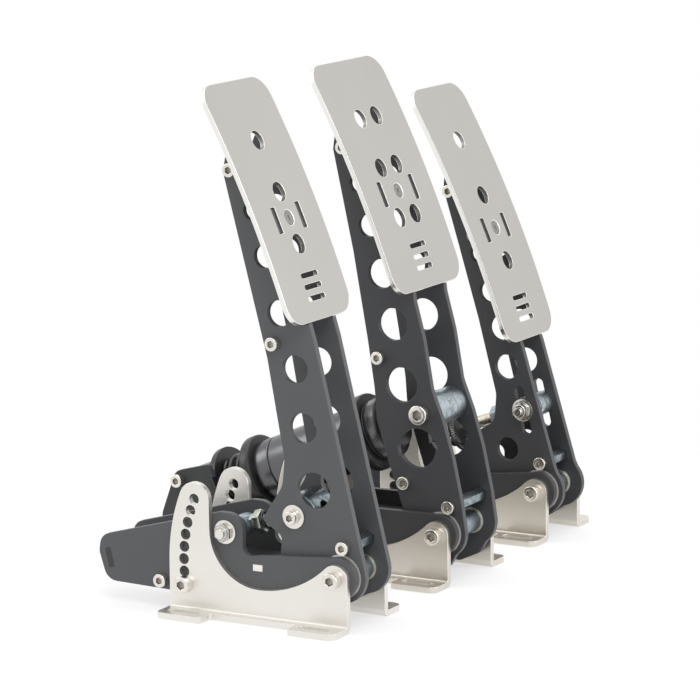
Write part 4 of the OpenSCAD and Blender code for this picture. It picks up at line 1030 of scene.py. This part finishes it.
def makeCoil(name, radius, wire, length, turns):  # stands on z = 0, with closed ends
    points = []
    total = int(turns * coilSteps)
    rise = length - wire
    flat = 0.75 / turns  # share of each end that lies nearly flat
    for i in range(total + 1):
        share = i / total
        angle = 2 * math.pi * i / coilSteps
        if share < flat:
            height = 0.5 * share * share / flat
        elif share > 1 - flat:
            height = 1 - flat - 0.5 * (1 - share) ** 2 / flat
        else:
            height = share - flat / 2
        height = wire / 2 + rise * height / (1 - flat)
        points.append((radius * math.cos(angle), radius * math.sin(angle), height))
    curve = bpy.data.curves.new(name, "CURVE")
    curve.dimensions = "3D"
    spline = curve.splines.new("POLY")
    spline.points.add(len(points) - 1)
    for target, point in zip(spline.points, points):
        target.co = (point[0] / 1000, point[1] / 1000, point[2] / 1000, 1)
    curve.bevel_depth = wire / 2000
    curve.bevel_resolution = 4
    curve.use_fill_caps = True
    makeActive(newObject(name, curve))
    bpy.ops.object.convert(target="MESH")
    coil = bpy.context.active_object
    paint(coil, springBlack)
    smoothSharp(coil, 50)
    return coil


unitDirection = (0, math.cos(unitSlope), -math.sin(unitSlope))
unitStart = spot("brake", 0, crossAt)


def alongUnit(distance):
    return unitStart + Vector(unitDirection) * distance / 1000


clutchCoil = makeCoil("clutchCoil", *coils["clutch"])
standAlong(clutchCoil, alongLink(coilStart["clutch"]), linkDirection)
finishPiece(clutchCoil, "clutch_rod", ["clutch_spring"])
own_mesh(clutchCoil)

brakeCoil = makeCoil("brakeCoil", *coils["brake"])
standAlong(brakeCoil, alongUnit(coilStart["brake"]), unitDirection)
finishPiece(brakeCoil, "base", ["brake_spring"])
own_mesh(brakeCoil)

throttleCoil = makeCoil("throttleCoil", *coils["throttle"])
standAlong(throttleCoil, alongRod(coilStart["throttle"]), rodDirection)
finishPiece(throttleCoil, "throttle_link", ["throttle_spring"])
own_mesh(throttleCoil)
print("springs wound")


# Brake unit

brakeUnit = {
    # radius, start and end along the part's axis, rounding and its steps
    "ringBoss": (15.0, 30.7, 35.9, 1.2, 4),
    "frontFlange": (24.5, 46.0, 53.9, 1.4, 4),
    "barrel": (19.5, 54.0, 117.9, 0.5, 3),
    "grooveFloor": (18.7, 117.0, 119.5, 0.1, 3),
    "rearBarrel": (19.5, 118.7, 131.0, 0.5, 3),
    "rearFlange": (24.5, 130.0, 138.0, 2.2, 5),
    "crossTube": (10.5, -17.8, 17.8, 0.6, 3),
    "pushRod": (6.0, -8.0, 183.4, 0.8, 3),
}
preloadRings = {"brake": (19.5, 35.7, 45.7), "throttle": (15.5, 51.5, 57.5)}  # radius, start, end
knurl = {"pitch": 1.28, "depth": 0.45, "rim": 1.2}


def roundDisc(radius, start, end, rounding, steps, material):
    disc = cylinderPiece(radius, end - start, 144, (start + end) / 2)
    roundEdges(disc, rounding, steps, 50)
    smoothSharp(disc)
    paint(disc, material)
    return disc


def makeKnurledRing(radius, start, end):
    columns = round(2 * math.pi * radius / knurl["pitch"])
    width = end - start - 2
    rows = round(width / knurl["pitch"])
    deselectAll()
    bpy.ops.mesh.primitive_cylinder_add(vertices=columns, radius=(radius - knurl["depth"]) / 1000,
                                        depth=width / 1000, end_fill_type="NOTHING",
                                        location=(0, 0, (start + end) / 2000))
    grip = bpy.context.active_object
    settle(grip)
    editAll(grip)
    bpy.ops.mesh.subdivide_edgering(number_cuts=rows - 1)
    bpy.ops.mesh.poke(offset=knurl["depth"] / 1000)
    bpy.ops.object.mode_set(mode="OBJECT")
    paint(grip, knurlBlack)
    core = roundDisc(radius - 1.0, start + 0.4, end - 0.4, 0.2, 3, blackAnodised)
    rims = [roundDisc(radius - 0.1, low, low + knurl["rim"], 0.4, 3, blackAnodised)
            for low in (start, end - knurl["rim"])]
    return joinAll([grip, core] + rims, "knurledRing")


ringBoss = roundDisc(*brakeUnit["ringBoss"], blackAnodised)
brakeRing = joinAll([ringBoss, makeKnurledRing(*preloadRings["brake"])], "preloadRing")
standAlong(brakeRing, unitStart, unitDirection)
finishPiece(brakeRing, "brake_ring", ["brake_preload_ring"])

throttleRing = makeKnurledRing(*preloadRings["throttle"])
standAlong(throttleRing, rodStart, rodDirection)
finishPiece(throttleRing, "throttle_link", ["throttle_preload_ring"])

frontFlange = roundDisc(*brakeUnit["frontFlange"], blackAnodised)
standAlong(frontFlange, unitStart, unitDirection)
finishPiece(frontFlange, "brake_unit", ["brake_front_flange"])

housingParts = [roundDisc(*brakeUnit[part], housingGrey)
                for part in ("barrel", "grooveFloor", "rearBarrel")]
housingParts.append(roundDisc(*brakeUnit["rearFlange"], blackAnodised))
brakeHousing = joinAll(housingParts, "brakeHousingSet")
standAlong(brakeHousing, unitStart, unitDirection)
finishPiece(brakeHousing, "brake_unit", ["brake_housing"])

crossTube = roundDisc(*brakeUnit["crossTube"], zinc)
standAlong(crossTube, unitStart, (1, 0, 0))
finishPiece(crossTube, "brake_unit", ["brake_cross_tube"])

pushRod = joinAll([roundDisc(*brakeUnit["pushRod"], screwSteel)], "pushRodSet")
standAlong(pushRod, unitStart, unitDirection)
finishPiece(pushRod, "brake_unit", ["brake_push_rod"])
print("brake unit made")


# Floor, lamps and world

floorLook = {"size": 14.0, "color": (0.92, 0.92, 0.92), "rough": 0.9, "shine": 0.1, "white": 1.0,
             "shareNear": 0.6, "shareFar": 1.0, "near": 0.16, "far": 0.42}


def seenDirectly(tree, x, y):  # 1 for what the camera, a reflection or glass sees, else 0
    rays = addNode(tree, "ShaderNodeLightPath", (x, y))
    seen = rays.outputs["Is Camera Ray"]
    for ray in ("Is Glossy Ray", "Is Transmission Ray"):
        x += 200
        greater = addNode(tree, "ShaderNodeMath", (x, y), operation="MAXIMUM")
        tree.links.new(seen, greater.inputs[0])
        tree.links.new(rays.outputs[ray], greater.inputs[1])
        seen = greater.outputs[0]
    return seen


deselectAll()
bpy.ops.mesh.primitive_plane_add(size=floorLook["size"], location=(0, 0, 0))
floor = bpy.context.active_object
floor.name = "studioFloor"
floorMaterial, floorTree, floorShader = startMaterial("floorWhite")
floorShader.inputs["Base Color"].default_value = (*floorLook["color"], 1)
floorShader.inputs["Roughness"].default_value = floorLook["rough"]
floorShader.inputs["Specular IOR Level"].default_value = floorLook["shine"]
glow = addNode(floorTree, "ShaderNodeEmission", (-100, -250))
glow.inputs["Strength"].default_value = floorLook["white"]
floorPlace = addNode(floorTree, "ShaderNodeTexCoord", (-900, 0))
floorReach = addNode(floorTree, "ShaderNodeVectorMath", (-700, 0), operation="LENGTH")
fade = addNode(floorTree, "ShaderNodeMapRange", (-500, 0))  # the shadow fades with the distance
fade.inputs["From Min"].default_value = floorLook["near"]
fade.inputs["From Max"].default_value = floorLook["far"]
fade.inputs["To Min"].default_value = floorLook["shareNear"]
fade.inputs["To Max"].default_value = floorLook["shareFar"]
share = addNode(floorTree, "ShaderNodeMath", (-100, 300), operation="MULTIPLY")
blend = addNode(floorTree, "ShaderNodeMixShader", (200, 100))
floorLinks = floorTree.links
floorLinks.new(floorPlace.outputs["Object"], floorReach.inputs[0])
floorLinks.new(floorReach.outputs["Value"], fade.inputs["Value"])
floorLinks.new(seenDirectly(floorTree, -700, 300), share.inputs[0])
floorLinks.new(fade.outputs["Result"], share.inputs[1])
floorLinks.new(share.outputs[0], blend.inputs["Fac"])
floorLinks.new(floorShader.outputs[0], blend.inputs[1])
floorLinks.new(glow.outputs[0], blend.inputs[2])
floorLinks.new(blend.outputs[0], floorTree.nodes["Material Output"].inputs["Surface"])
paint(floor, floorMaterial)

lampPlans = {
    # place, point it looks at, size, power
    "keyLamp": ((-1.6, -1.2, 2.2), (0, 0, 0.12), 1.6, 30),
    "frontLamp": ((0.6, -2.2, 1.0), (0, 0, 0.15), 1.4, 12),
    "topLamp": ((0.2, 0.4, 2.4), (0, 0, 0.1), 2.0, 18),
    "rimLamp": ((-0.9, 2.1, 1.5), (0, 0, 0.1), 1.2, 12),
}
for lampName, (place, target, size, power) in lampPlans.items():
    lampData = bpy.data.lights.new(lampName, "AREA")
    lampData.size = size
    lampData.energy = power
    lamp = newObject(lampName, lampData)
    aim = (Vector(target) - Vector(place)).to_track_quat("-Z", "Y")
    lamp.matrix_world = Matrix.Translation(place) @ aim.to_matrix().to_4x4()

worldLook = {"fill": 0.75, "white": 1.0}  # strength as light, and where it is seen
world = bpy.data.worlds.new("studioWorld")
bpy.context.scene.world = world
world.use_nodes = True
worldTree = world.node_tree
worldTree.nodes.clear()
worldOut = addNode(worldTree, "ShaderNodeOutputWorld", (600, 0))
worldMix = addNode(worldTree, "ShaderNodeMixShader", (300, 0))
worldTree.links.new(seenDirectly(worldTree, -600, 300), worldMix.inputs["Fac"])
for i, strength in enumerate(worldLook.values(), 1):
    back = addNode(worldTree, "ShaderNodeBackground", (0, 300 - 200 * i))
    back.inputs["Color"].default_value = (1, 1, 1, 1)
    back.inputs["Strength"].default_value = strength
    worldTree.links.new(back.outputs[0], worldMix.inputs[i])
worldTree.links.new(worldMix.outputs[0], worldOut.inputs["Surface"])
bpy.context.scene.view_settings.view_transform = "Standard"
print("floor, lamps and world set")

deselectAll()
